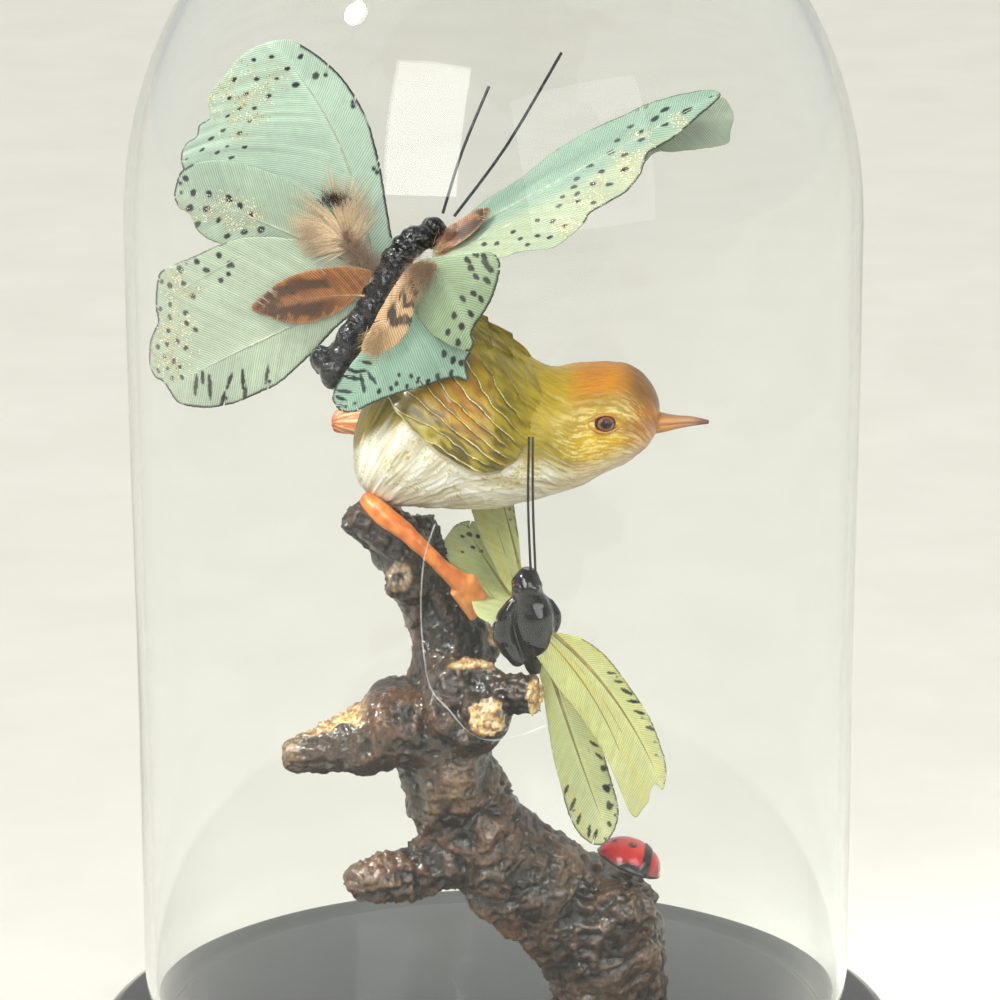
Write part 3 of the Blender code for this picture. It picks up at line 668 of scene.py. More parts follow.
TRUNK = [
    (26.5, 17.0, 15.0, 12.4), (27.0, 14.0, 29.0, 15.0), (22.5, 9.0, 42.0, 15.2), (11.0, 4.5, 52.5, 13.2),
    (-0.5, 0.5, 64.0, 12.2), (-8.5, -2.0, 78.0, 12.0), (-12.5, -3.0, 92.0, 12.2), (-11.0, -0.5, 105.5, 10.4),
    (-9.6, 2.0, 117.0, 8.9), (-14.4, 2.0, 127.5, 8.0), (-21.5, 0.0, 138.0, 7.0), (-28.8, -3.0, 145.0, 5.6),
    (-32.8, -4.0, 148.2, 4.6),
]
BRANCH_LIMBS = {
    "back_arm": ([(-12, 3, 122, 6.6), (-14.5, 7.5, 133, 5.4), (-17.5, 12, 142, 4.6)], 0.5),
    "left_stub": (
        [(-12, -3, 94, 12.6), (-23, -6, 97.5, 11.6), (-34, -8, 93.8, 8.6), (-49, -9.8, 91.6, 3.6)], 0.4,
    ),
    "low_stub": ([(-2, -1, 67, 10), (-13, -4, 63.5, 7.8), (-23, -7, 60.8, 6), (-32, -9.5, 58.8, 4.4)], 0.8),
    "front_knot": ([(-8.5, 0, 99, 11), (-6, -12, 104.5, 11.4), (-5, -21, 107.4, 10.2)], 0.0),
    "front_peg": ([(-4, -19, 106.2, 4.8), (-2.2, -26, 106.8, 4.6), (-1.4, -31.6, 107.4, 4.3)], 0.0),
    "right_peg": ([(-4, -16, 108.6, 5.8), (3, -20, 109.2, 5.0), (9.8, -23.2, 109.4, 4.4)], 0.0),
    "back_peg": ([(-6, 1, 110, 5), (-1, 4, 114, 3.4), (2.6, 6, 118.2, 2.8)], 0.0),
    "burl": ([(-16, 1, 131, 6.6), (-20.5, -4.5, 133.5, 5.6), (-22.6, -7.4, 134.4, 4.2)], 0.5),
    "ladybird_seat": ([(24, 9, 36, 12), (28, 4, 46, 10.5), (30.5, 1, 51.6, 9)], 0.5),
}
# Where bare wood shows: a point on the cut, its outward direction and how far it spreads
CUTS = [
    ((-1.4, -31.6, 107.4), (0.10, -0.98, 0.10), 5.4),
    ((9.8, -23.2, 109.4), (0.88, -0.42, 0.1), 5.8),
    ((2.6, 6, 118.2), (0.3, -0.6, 0.6), 6.4),
]
STUB_CUT = ((-38.0, -8.0, 99.4), (-0.26, -0.02, 0.97))


def nearest_on_limbs(points, limbs):
    """For each point, how far along and round the nearest limb it lies, in millimetres."""
    best = np.full(len(points), 1e9)
    along = np.zeros(len(points))
    turn = np.zeros(len(points))
    offset = 0.0
    for stops in limbs:
        stops = vec(stops)
        centres = curve_values(stops[:, :3], np.linspace(0, 1, 24))
        radii = curve_values(stops[:, 3], np.linspace(0, 1, 24))
        for a, b, r in zip(centres, centres[1:], radii):
            ahead = b - a
            length = np.linalg.norm(ahead)
            ahead /= length
            t = np.clip((points - a) @ ahead, 0, length)
            out = points - (a + t[:, None] * ahead)
            far = np.linalg.norm(out, axis=1) / r
            closer = far < best
            best[closer] = far[closer]
            side = unit(np.cross(ahead, vec((0.3, 1.0, 0.2))))
            up = np.cross(ahead, side)
            along[closer] = (offset + t)[closer]
            turn[closer] = np.arctan2(out @ up, out @ side)[closer]
            offset += length
        offset += 40.0
    return along, turn


def ridged(points, scale, octaves, seed):
    """Sharp crests between -1 and 1."""
    return 1 - np.abs(turbulence(points, scale, octaves, seed)) * 3.4


def build_branch():
    parts = [limb_points(TRUNK, 60, 32, end=0.5)]
    for stops, end in BRANCH_LIMBS.values():
        parts.append(limb_points(stops, 20, 24, end=end))
    item = fused("cast_branch", parts, 0.56, 5)
    points = points_of(item)
    normals = normals_of(item)
    # Broad lumps first, then furrows along each limb, flaky cross wrinkles and grit.
    along, turn = nearest_on_limbs(points, [TRUNK] + [stops for stops, _ in BRANCH_LIMBS.values()])
    warp = stack(*(noise_at(points, 0.13, seed) for seed in (11.0, 23.0, 37.0)))
    bent = points + warp * 5.0
    ring = stack(np.cos(turn) * 7, np.sin(turn) * 7, along + 6 * warp[:, 0])
    lumps = turbulence(points, 0.075, 2, 1.0)
    furrow = ridged(ring * (0.22, 0.22, 0.045), 1.0, 2, 2.0)
    wrinkle = ridged(ring * (0.10, 0.10, 0.20) + warp * 0.3, 1.0, 2, 3.0)
    flakes = ridged(bent * (1.0, 1.0, 0.8), 0.20, 3, 6.0)
    grit = turbulence(points, 0.8, 3, 4.0)
    pits = smoothstep(0.30, 0.55, noise_at(points, 0.36, 5.0))
    foot_share = smoothstep(92.0, 60.0, points[:, 2])
    height = 1.9 * lumps + 0.46 * furrow + (0.34 + 0.36 * foot_share) * wrinkle
    height = height + (0.20 + 0.24 * foot_share) * flakes
    height = height + 0.20 * grit - 0.8 * pits - 0.30
    bare = np.zeros(len(points))
    for place, out, spread in CUTS:
        gap = (points - vec(place)) @ unit(vec(out))
        near = np.linalg.norm(points - vec(place), axis=1)
        ragged = 0.8 * noise_at(points, 0.5, 12.0)
        cut = smoothstep(-1.4, -0.6, gap + ragged) * smoothstep(spread + 1.0, spread - 0.2, near + ragged)
        bare = np.maximum(bare, cut)
    place, out = vec(STUB_CUT[0]), unit(vec(STUB_CUT[1]))
    over = (points - place) @ out
    on_stub = smoothstep(-29.0, -34.0, points[:, 0]) * (points[:, 2] > 80) * (points[:, 2] < 112)
    sliced = on_stub * smoothstep(-1.6, -0.6, over - 0.8 + 1.6 * noise_at(points, 0.3, 14.0))
    bare = np.maximum(bare, sliced)
    tip_wood = smoothstep(-44.0, -47.5, points[:, 0]) * on_stub * smoothstep(88.0, 92.0, points[:, 2])
    bare = np.maximum(bare, 0.25 * tip_wood)
    knot_height = points[:, 2] - 117.2 + 0.05 * points[:, 0] + 1.2 * noise_at(points, 0.35, 15.0)
    knot_top = smoothstep(2.6, 1.2, np.abs(knot_height))
    knot_span = smoothstep(-14, -11, points[:, 0]) * smoothstep(4, 1, points[:, 0])
    knot_top *= smoothstep(-10.5, -13.0, points[:, 1]) * knot_span
    bare = np.maximum(bare, knot_top)
    fibre = turbulence(points, 0.7, 3, 8.0)
    height = height * (1 - 0.85 * bare) + bare * (0.9 * fibre - 0.3)
    points = points + normals * height[:, None]
    points = points - out * (np.maximum(over, 0.0) * on_stub * 0.85)[:, None]
    points[:, 2] = np.maximum(points[:, 2], 21.8)
    set_points(item, points)
    item.data.shade_smooth()

    # Painted shade: the bark is painted almost black in its deepest crevices.
    crevice_shade = smoothstep(0.75, -0.9, height - 1.2 * lumps)
    brown = mix((0.080, 0.041, 0.019), (0.008, 0.005, 0.003), crevice_shade)
    warm = smoothstep(0.05, 0.5, turbulence(points, 0.06, 2, 9.0))
    brown = mix(brown, (0.15, 0.052, 0.016), warm * 0.55 * (1 - crevice_shade))
    lump_end = smoothstep(-28.0, -35.0, points[:, 0]) * (points[:, 2] > 80) * (points[:, 2] < 112)
    brown = mix(brown, (0.05, 0.034, 0.022), lump_end * 0.6)
    brown = brown * (1 - 0.5 * smoothstep(100.0, 116.0, points[:, 2])[:, None])
    # Painted highlight: the highest crests of the bark are painted a lighter brown.
    crest_highlight = smoothstep(0.9, 1.7, height + 0.4 * grit) * (1 - crevice_shade)
    brown = mix(brown, (0.28, 0.16, 0.075), crest_highlight * 0.40)
    grey = smoothstep(0.15, 0.5, turbulence(points, 0.16, 2, 19.0)) * smoothstep(80.0, 50.0, points[:, 2])
    brown = mix(brown, (0.20, 0.155, 0.11), grey * 0.30 * (1 - crevice_shade))
    tan = mix((0.78, 0.50, 0.20), (0.34, 0.16, 0.045), smoothstep(-0.1, 0.5, fibre))
    tan = mix(tan, (0.90, 0.78, 0.58), smoothstep(0.15, 0.5, -fibre) * 0.7)
    tan = mix(tan, (0.05, 0.03, 0.02), smoothstep(0.45, 0.65, noise_at(points, 0.42, 16.0)) * 0.8)
    eye = np.linalg.norm(points - vec((-22.8, -9.6, 135.0)), axis=1)
    brown = mix(brown, (0.02, 0.012, 0.008), smoothstep(1.7, 1.0, eye))
    brown = mix(brown, (0.34, 0.22, 0.12), smoothstep(1.3, 0.8, np.abs(eye - 2.6)) * 0.6)
    give_paint(item, mix(brown, tan, bare))
    piece(item, varnished_bark(), BASE, "cast_bark", "branch")


def varnished_bark():
    """Painted bark under a thick coat of varnish."""
    n = Nodes("varnished_bark")
    paint, _ = n.paint()
    shader = n.principled(Coat_Weight=1.0, Coat_Roughness=0.20, Coat_IOR=1.7, Specular_IOR_Level=0.2)
    fine = n.noise(1.1, 8.0, 0.65)
    grain = n.ramp(fine, [(0.36, 0.35), (0.58, 1.25)])
    n.link(n.blend(paint, grain, 1.0, "MULTIPLY"), shader.inputs["Base Color"])
    n.link(n.ramp(fine, [(0.3, 0.25), (0.7, 0.6)]), shader.inputs["Roughness"])
    # Varnish pools over the bark, so its shine follows the broad shape and breaks up into glints.
    pooled = n.bump(n.noise(0.60, 2.0, 0.5), 1.0, 0.55)
    n.link(pooled, shader.inputs["Coat Normal"])
    n.link(n.bump(fine, 1.0, 0.5, pooled), shader.inputs["Normal"])
    return n.material


def build_ladybird():
    """A painted beetle: two red wing cases, a broad black seam, spots, a collar and a dark belly."""
    centre = vec((31.8, -0.6, 60.9))
    lean = math.radians(24.0)
    rows, columns = 90, 140
    down, around = ball_angles(rows, columns, 0.001)
    x = np.cos(down)
    y = np.sin(down) * np.cos(around)
    z = np.sin(down) * np.sin(around)
    lower = z < 0
    # The seam runs front to back, bowed over the shell, with a dark groove each side of its raised band.
    across = x - 0.36 - 0.10 * (1 - z)
    band = smoothstep(0.17, 0.13, np.abs(across)) * (z > 0)
    groove = smoothstep(0.05, 0.0, np.abs(np.abs(across) - 0.15)) * (z > 0.02)
    front = smoothstep(-0.90, -0.96, y)
    skirt = smoothstep(0.07, 0.02, z + 0.04 * y)
    size = stack(x * 8.0, y * 6.6, z * np.where(lower, 1.4, 6.0))
    size = size * (1 + 0.035 * band - 0.05 * groove + 0.03 * skirt * ~lower)[:, None]
    mottle = turbulence(size, 0.35, 3, 3.0)
    # Painted light and shade: the red is painted lighter towards the top of the shell and darker low on its
    # sides.
    red = mix((0.50, 0.012, 0.014), (0.66, 0.035, 0.025), smoothstep(0.4, 0.95, z + 0.3 * mottle))
    red = mix(red, (0.22, 0.006, 0.008), smoothstep(0.45, 0.15, z + 0.2 * mottle) * 0.7)
    black = vec((0.010, 0.008, 0.008))
    colour = mix(red, black, band)
    for sx, sy, r in ((-0.16, -0.42, 0.15), (-0.18, 0.45, 0.15), (-0.70, -0.2, 0.09), (0.76, 0.2, 0.10)):
        ring = np.hypot(x - sx, y - sy)
        colour = mix(colour, black, smoothstep(r, r * 0.75, ring + 0.03 * mottle) * (z > 0))
        colour = mix(colour, (0.30, 0.02, 0.01), smoothstep(r * 0.5, r * 0.3, ring) * 0.5 * (z > 0))
    colour = mix(colour, black, np.clip(front + skirt, 0, 1))
    wrinkled = size * (1 + 0.012 * mottle)[:, None]
    turned_x = wrinkled[:, 0] * math.cos(lean) + wrinkled[:, 2] * math.sin(lean)
    turned_z = -wrinkled[:, 0] * math.sin(lean) + wrinkled[:, 2] * math.cos(lean)
    points = centre + stack(turned_x, wrinkled[:, 1], turned_z)
    item = make_mesh("painted_ladybird", points, tube_faces(rows, columns), colour)
    skin = painted("ladybird_paint", 0.22, coat=0.9, grain=0.12, bump=0.04)
    piece(item, skin, BASE, "ladybird_paint", "ladybird")


# ---------------------------------------------------------------- bird

BIRD_SECTIONS = vec([
    (-33.4, 162.4, 15.2, 14.2), (-30.8, 163.8, 15.8, 14.8), (-27.0, 166.0, 16.4, 15.4),
    (-20.0, 168.4, 18.2, 17.0), (-10.0, 170.2, 20.6, 18.8), (0.0, 169.6, 20.0, 18.4),
    (8.0, 168.0, 16.8, 16.0), (14.0, 167.8, 14.9, 14.0), (20.0, 169.2, 14.5, 13.2),
    (26.0, 171.1, 13.0, 12.2), (31.0, 172.0, 11.7, 11.2), (34.4, 172.3, 10.7, 10.2), (38.8, 172.1, 10.0, 9.4),
])
RUMP, FACE = (-19.0, 14.2), (28.6, 10.2)


def rounding(x):
    """How much of its full section the bird still has at each x, as its rump and face close."""
    rear = np.clip((RUMP[0] - x) / RUMP[1], 0, 0.999)
    front = np.clip((x - FACE[0]) / FACE[1], 0, 0.999)
    return np.sqrt(1 - rear**2.4) * np.sqrt(1 - front**2.4)


def bird_section(x):
    """Middle height, half height and half width of the bird at each x."""
    middle, high, wide = [np.interp(x, BIRD_SECTIONS[:, 0], BIRD_SECTIONS[:, k]) for k in (1, 2, 3)]
    return middle, high * rounding(x), wide * rounding(x)


def smooth_sections(count):
    """The same cross-sections, finely spaced and rounded off."""
    x = np.concatenate([
        np.linspace(-32.9, -31.0, 10), np.linspace(-30.5, 34.0, count), np.linspace(34.4, 38.6, 18),
    ])
    fine = np.linspace(-33.5, 39.0, 1200)
    kernel = np.exp(-0.5 * (np.linspace(-2.4, 2.4, 90)) ** 2)
    kernel /= kernel.sum()
    out = [x]
    for k in (1, 2, 3):
        values = np.interp(fine, BIRD_SECTIONS[:, 0], BIRD_SECTIONS[:, k])
        values = np.convolve(np.pad(values, 45, mode="edge"), kernel, "same")[45:-45]
        out.append(np.interp(x, fine, values))
    out[2] = out[2] * rounding(x)
    out[3] = out[3] * rounding(x)
    return out


def build_bird():
    sides = 300
    x, middle, high, wide = smooth_sections(220)
    angle = np.linspace(0, 2 * math.pi, sides, endpoint=False)
    X = np.repeat(x, sides)
    A = np.tile(angle, len(x))
    H = np.repeat(high, sides)
    W = np.repeat(wide, sides)
    M = np.repeat(middle, sides)
    points = stack(X, -W * np.sin(A), M + H * np.cos(A))
    rise = np.cos(A)
    flank = np.abs(np.sin(A))
    # Plumage: long narrow barbs that lie back along the body, shorter and finer on the head.
    head = smoothstep(10.0, 19.0, X)
    down = np.minimum(A, 2 * math.pi - A) * (W + H) / 2
    side = np.where(A < math.pi, 0.0, 50.0)
    lie = down + 0.30 * X * (1 - head) + 1.6 * noise_at(points, 0.10, 2.0)
    strokes = turbulence(stack(X * 0.17, lie * 1.05, side), 1.0, 2, 1.0)
    fine = turbulence(stack(X * 0.42, lie * 2.3, side), 1.0, 2, 2.0)
    clumps = turbulence(stack(X * 0.10, lie * 0.30, side), 1.0, 2, 3.0)
    crest = 1 - np.abs(strokes) * 3.0
    relief = (0.20 * crest + 0.30 * clumps) * (1 - 0.65 * head) + 0.13 * fine
    nape_step = smoothstep(9.0, 12.5, X) * smoothstep(17.5, 13.0, X) * smoothstep(0.3, 0.8, rise)
    relief = (relief - 0.5 * nape_step * smoothstep(-0.2, 0.4, clumps)) * smoothstep(38.4, 35.0, X)
    out = unit(stack(0.0, -np.sin(A) / W, np.cos(A) / H))
    points = points + out * relief[:, None]

    wave = 0.25 * clumps + 0.16 * strokes
    # Body: olive back, cream belly with a ragged line between them.
    border = [
        (-33, 0.30), (-20, 0.34), (-8, 0.0), (4, -0.16), (12, -0.30), (22, -0.46), (30, -0.44), (38, -0.34),
    ]
    line = np.interp(X, *vec(border).T)
    under = smoothstep(line + 0.20, line - 0.12, rise + wave)
    back = mix((0.16, 0.115, 0.001), (0.38, 0.28, 0.003), smoothstep(-0.3, 0.5, strokes))
    back = mix(back, (0.10, 0.07, 0.003), smoothstep(0.5, 0.1, crest) * 0.4)
    back = mix(back, (0.46, 0.35, 0.02), smoothstep(0.0, 9.0, X) * 0.5)
    belly = mix((0.74, 0.66, 0.46), (0.88, 0.85, 0.74), smoothstep(-0.3, 0.4, clumps + 0.5 * fine))
    patches = smoothstep(-0.25, 0.15, noise_at(points, 0.16, 7.0))
    lines = smoothstep(0.10, 0.02, np.abs(strokes + 0.06)) * patches
    belly = mix(belly, (0.40, 0.30, 0.01), lines * 0.85 * smoothstep(-0.99, -0.75, rise))
    breast = smoothstep(-6.0, 8.0, X) * smoothstep(-0.85, -0.3, rise)
    streaked = breast * 0.42 * smoothstep(-0.2, 0.3, strokes) + lines * breast * 0.5
    belly = mix(belly, (0.56, 0.42, 0.02), streaked)
    belly = mix(belly, (0.80, 0.58, 0.22), smoothstep(-0.86, -1.0, rise) * 0.5)
    colour = mix(back, belly, under)
    # Head: orange crown, yellow cheek, brown at the forehead, orange round the bill.
    crown = head * smoothstep(0.28, 0.80, rise + 0.4 * wave)
    orange = mix((0.60, 0.36, 0.008), (0.66, 0.235, 0.008), smoothstep(13, 22, X))
    colour = mix(colour, orange, crown * 0.95)
    cheek = smoothstep(11.5, 2.0, np.hypot(X - 25.5, points[:, 2] - 167.5)) * (flank > 0.3)
    colour = mix(colour, (0.82, 0.50, 0.02), cheek * 0.9)
    front = smoothstep(27.5, 35.0, X + 0.15 * (170 - points[:, 2]))
    colour = mix(colour, (0.55, 0.165, 0.005), front * 0.9)
    brow = smoothstep(27.5, 34.0, X) * smoothstep(0.10, 0.60, rise + 0.5 * wave)
    colour = mix(colour, (0.17, 0.075, 0.015), brow * 0.85)
    throat = smoothstep(-0.35, -0.75, rise + 0.4 * wave) * smoothstep(10, 16, X) * smoothstep(35.5, 31.0, X)
    colour = mix(colour, (0.84, 0.68, 0.42), throat * 0.8)
    nape = smoothstep(6.0, 12.0, X) * smoothstep(22.0, 15.0, X) * smoothstep(0.0, 0.5, rise)
    colour = mix(colour, (0.50, 0.34, 0.004), nape * 0.8)
    hair = smoothstep(0.10, 0.35, fine) * head
    colour = mix(colour, (0.36, 0.17, 0.004), hair * 0.50)
    pale_hair = smoothstep(0.08, 0.30, -fine) * head * 0.55 * smoothstep(0.7, 0.2, rise)
    colour = mix(colour, (0.98, 0.84, 0.36), pale_hair)
    lores = smoothstep(2.6, 0.8, np.abs(points[:, 2] - 171.2)) * smoothstep(28.5, 31.0, X) * (flank > 0.4)
    colour = mix(colour, (0.34, 0.12, 0.01), lores * 0.55)
    # Painted shade and highlight: the plumage is painted darker in its hollows and lighter on its raised
    # clumps.
    colour = colour * (0.80 + 0.26 * smoothstep(-0.35, 0.35, relief))[:, None]
    item = make_mesh("painted_bird", points, tube_faces(len(x), sides), colour)
    skin = painted("bird_paint", 0.40, coat=0.35, grain=0.18, scale=2.2, bump=0.16, stretch=(0.30, 1.0, 1.0))
    piece(item, skin, BASE, "bird_paint", "bird_body")


def build_beak():
    stops = [
        (36.6, 0, 169.7, 3.0), (39.5, 0, 169.6, 2.35), (42.5, 0, 169.7, 1.7), (46, 0, 169.9, 1.2),
        (50, 0, 169.7, 0.5),
    ]
    points, faces = limb_points(stops, 40, 48, end=0.5, flat=0.9)
    x = points[:, 0]
    # A crease along each side where the two halves of the bill meet.
    off_seam = np.abs(points[:, 2] - 169.55 - 0.015 * (x - 38))
    crease = smoothstep(0.30, 0.05, off_seam) * smoothstep(50.0, 46.0, x)
    points = points - unit(points - stack(x, 0.0, 169.7)) * (0.22 * crease)[:, None]
    colour = mix((0.62, 0.27, 0.07), (0.48, 0.23, 0.10), smoothstep(39, 45, x))
    colour = mix(colour, (0.14, 0.06, 0.035), smoothstep(45.5, 49.0, x))
    colour = mix(colour, (0.16, 0.07, 0.03), crease * 0.7)
    colour = mix(colour, (0.22, 0.10, 0.04), smoothstep(170.6, 171.6, points[:, 2]) * 0.6)
    item = make_mesh("painted_bill", points, faces, colour)
    horn = painted("bill_paint", 0.35, coat=0.3, grain=0.2, scale=2.0, bump=0.05)
    piece(item, horn, BASE, "horn_paint", "bird_beak")


def build_eyes():
    for side, sign in (("left", 1), ("right", -1)):
        centre = vec((25.6, sign * 12.2, 172.6))
        outward = unit(vec((0.15, sign * 0.97, 0.12)))
        ahead = unit(np.cross(outward, vec((0, 0, 1))) * -sign)
        up = np.cross(outward, ahead) * sign
        up = up if up[2] > 0 else -up
        rows, columns = 40, 64
        down, around = ball_angles(rows, columns, 0.02)
        radius = 2.15
        off = np.sin(down)
        wide = off * np.cos(around) * radius * 1.15
        high = off * np.sin(around) * radius * 0.95
        points = centre + outward * (np.cos(down) * 1.5)[:, None] + ahead * wide[:, None] + up * high[:, None]
        colour = mix((0.001, 0.001, 0.001), (0.16, 0.035, 0.010), smoothstep(0.50, 0.56, off))
        colour = mix(colour, (0.34, 0.10, 0.025), smoothstep(0.60, 0.72, off))
        colour = mix(colour, (0.03, 0.012, 0.008), smoothstep(0.74, 0.80, off))
        item = make_mesh("glossy_eye_" + side, points, tube_faces(rows, columns), colour)
        gloss = painted("eye_gloss_" + side, 0.25, coat=0.35, grain=0.1, bump=0.005, coat_rough=0.02)
        piece(item, gloss, BASE, "eye_gloss", "bird_eye_" + side)
        # The painted lid: an almond ring set round the bead.
        ring_count, tube = 64, 12
        a = np.linspace(0, 2 * math.pi, ring_count, endpoint=False)
        b = np.linspace(0, 2 * math.pi, tube, endpoint=False)
        A, B = np.meshgrid(a, b, indexing="ij")
        A, B = A.ravel(), B.ravel()
        reach_x = 3.1 + 0.9 * np.abs(np.cos(A)) ** 6
        reach_z = 2.1
        lift = 0.30 - 0.05 * (reach_x * np.cos(A)) ** 2
        along = (reach_x + 0.42 * np.cos(B)) * np.cos(A)
        rise = (reach_z + 0.42 * np.cos(B)) * np.sin(A)
        proud = lift + 0.42 * np.sin(B)
        points = centre + outward * proud[:, None] + ahead * along[:, None] + up * rise[:, None]
        colour = mix((0.10, 0.035, 0.008), (0.50, 0.22, 0.03), smoothstep(-0.3, 0.6, np.sin(B)))
        faces = grid_faces(ring_count, tube, around=True)
        last = (ring_count - 1) * tube
        faces += [(last + j, last + (j + 1) % tube, (j + 1) % tube, j) for j in range(tube)]
        lid = make_mesh("painted_lid_" + side, points, faces, colour)
        piece(lid, painted("lid_paint_" + side, 0.4, coat=0.2), BASE, "bird_paint")


def build_wing(side, sign):
    """Folded wing: overlapping flight feathers with pale edges fan up and back from rows of short coverts."""
    low = [(9.0, 170.0), (3.0, 163.6), (-4.0, 162.2), (-12.0, 166.6), (-19.0, 172.6), (-25.0, 179.6)]
    high = [(11.0, 180.0), (6.5, 187.6), (-2.4, 194.2), (-9.0, 197.0), (-15.0, 197.6), (-20.5, 193.4)]
    rows, columns = ((230, 200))
    t = np.linspace(0, 1, rows)
    v = np.linspace(0, 1, columns)
    bottom = curve_values(low, t)
    top = curve_values(high, t)
    # The upper edge steps down where each feather ends.
    stair = (t * 8.0) % 1.0
    top[:, 1] += (1.1 * (1 - stair) - 0.55) * smoothstep(0.05, 0.15, t)
    fringe = noise_at(stack(t * 26, 0.0, 0.0), 1.0, 3.0)
    bottom[:, 1] += 0.7 * fringe
    T, V = np.meshgrid(t, v, indexing="ij")
    place = bottom[:, None, :] * (1 - V[..., None]) + top[:, None, :] * V[..., None]
    X, Z = place[..., 0].ravel(), place[..., 1].ravel()
    T, V = T.ravel(), V.ravel()
    middle, tall, wide = bird_section(X)
    share = np.clip((Z - middle) / tall, -1, 1)
    flank = wide * np.sqrt(np.maximum(1 - share**2, 0.0))
    y = np.maximum(flank + 0.6 + 2.4 * share**2, 4.6 - 0.6 * V)
    sunk = smoothstep(0.0, 0.26, T + 0.05 * np.sin(V * 9.0))
    y = y - 1.5 * (1 - sunk)
    # Each feather is a sector about the shoulder, and its free lower edge stands proud of the next.
    shoulder_x, shoulder_z, sector = 22.0, 146.0, 3.8
    dx, dz = X - shoulder_x, Z - shoulder_z
    reach = np.hypot(dx, dz)
    plane = stack(X, 0.0, Z)
    bend = 1.5 * noise_at(plane, 0.09, 4.0) + 0.7 * noise_at(plane, 0.35, 14.0)
    swing = np.degrees(np.arctan2(dz, -dx)) + bend * 1.1 + 0.10 * reach
    fan = (swing - 34.0) / sector
    number = np.floor(fan)
    part = fan - number
    arc = reach * sector * math.pi / 180
    edge = smoothstep(0.26, 0.08, part * arc + 0.10 * noise_at(stack(X, Z, 0.0), 0.8, 9.0))
    flight = smoothstep(26.0, 31.0, reach + 2.5 * np.sin(number * 2.3))
    barbs = turbulence(stack(reach * 0.22, swing * 0.42, 0.0), 1.0, 2, 4.0)
    hairs = turbulence(stack((X - 0.9 * Z) * 0.12, 0.0, (Z + 0.9 * X) * 0.9), 1.0, 2, 8.0)
    crown = smoothstep(0.66, 0.86, V + 0.08 * barbs)
    step = flight * (1 - part) * 0.75
    lift = step * (1 - 0.6 * crown) + 0.20 * barbs + 0.22 * hairs * crown + 0.25 * edge
    rim = smoothstep(0.0, 0.05, V) * smoothstep(1.0, 0.96, V)
    rim = rim * smoothstep(0.0, 0.22, T) * smoothstep(1.0, 0.96, T)
    outer = y + 0.25 + (1.0 + lift) * rim
    inner = y - 0.15 * (1 - rim)
    colour = mix((0.10, 0.072, 0.001), (0.30, 0.225, 0.004), smoothstep(-0.3, 0.4, barbs))
    tinge = smoothstep(2.0, 4.5, fan) * smoothstep(12.5, 8.5, fan) * smoothstep(0.25, 0.5, T)
    tinge = tinge * flight * smoothstep(0.0, 0.5, part)
    colour = mix(colour, (0.44, 0.17, 0.004), tinge * 0.62)
    hairy = smoothstep(-0.45, 0.45, hairs)
    colour = mix(colour, mix((0.16, 0.115, 0.002), (0.36, 0.27, 0.006), hairy), crown * 0.9)
    # Painted shadow: a dark band where each flight feather lies beside the next one's proud edge.
    colour = mix(colour, (0.05, 0.035, 0.002), smoothstep(0.80, 0.98, part) * flight * 0.75 * (1 - crown))
    fade = smoothstep(10.5, 6.0, fan + 0.5 * noise_at(stack(X, Z, 0.0), 0.2, 6.0))
    colour = mix(colour, (0.95, 0.84, 0.44), edge * flight * (0.12 + 0.88 * fade) * (1 - crown))
    shoulder = smoothstep(0.34, 0.08, T + 0.10 * hairs)
    colour = mix(colour, mix((0.24, 0.175, 0.002), (0.44, 0.33, 0.008), hairy), shoulder)
    hem = smoothstep(0.045, 0.01, V + 0.02 * fringe.repeat(columns))
    colour = mix(colour, (0.90, 0.82, 0.55), hem * 0.8 * flight)
    points = np.concatenate([stack(X, sign * outer, Z), stack(X, sign * inner, Z)])
    faces = grid_faces(rows, columns, flip=sign > 0)
    faces += grid_faces(rows, columns, start=rows * columns, flip=sign < 0)
    faces += border_faces(rows, columns, flip=sign > 0)
    item = make_mesh("painted_wing_" + side, points, faces, np.concatenate([colour, colour]))
    wing = painted("wing_paint_" + side, 0.38, coat=0.35, grain=0.16, scale=2.4, bump=0.12)
    piece(item, wing, BASE, "bird_paint", "bird_wing_" + side)


def border_faces(rows, columns, flip=False):
    """Quads that close the rim between a front grid and the back grid that follows it."""
    count = rows * columns
    loop = [(i, 0) for i in range(rows)] + [(rows - 1, j) for j in range(1, columns)]
    loop += [(i, columns - 1) for i in range(rows - 2, -1, -1)] + [(0, j) for j in range(columns - 2, 0, -1)]
    index = [i * columns + j for i, j in loop]
    faces = []
    for a, b in zip(index, index[1:] + index[:1]):
        quad = (a, b, b + count, a + count)
        faces.append(quad[::-1] if flip else quad)
    return faces


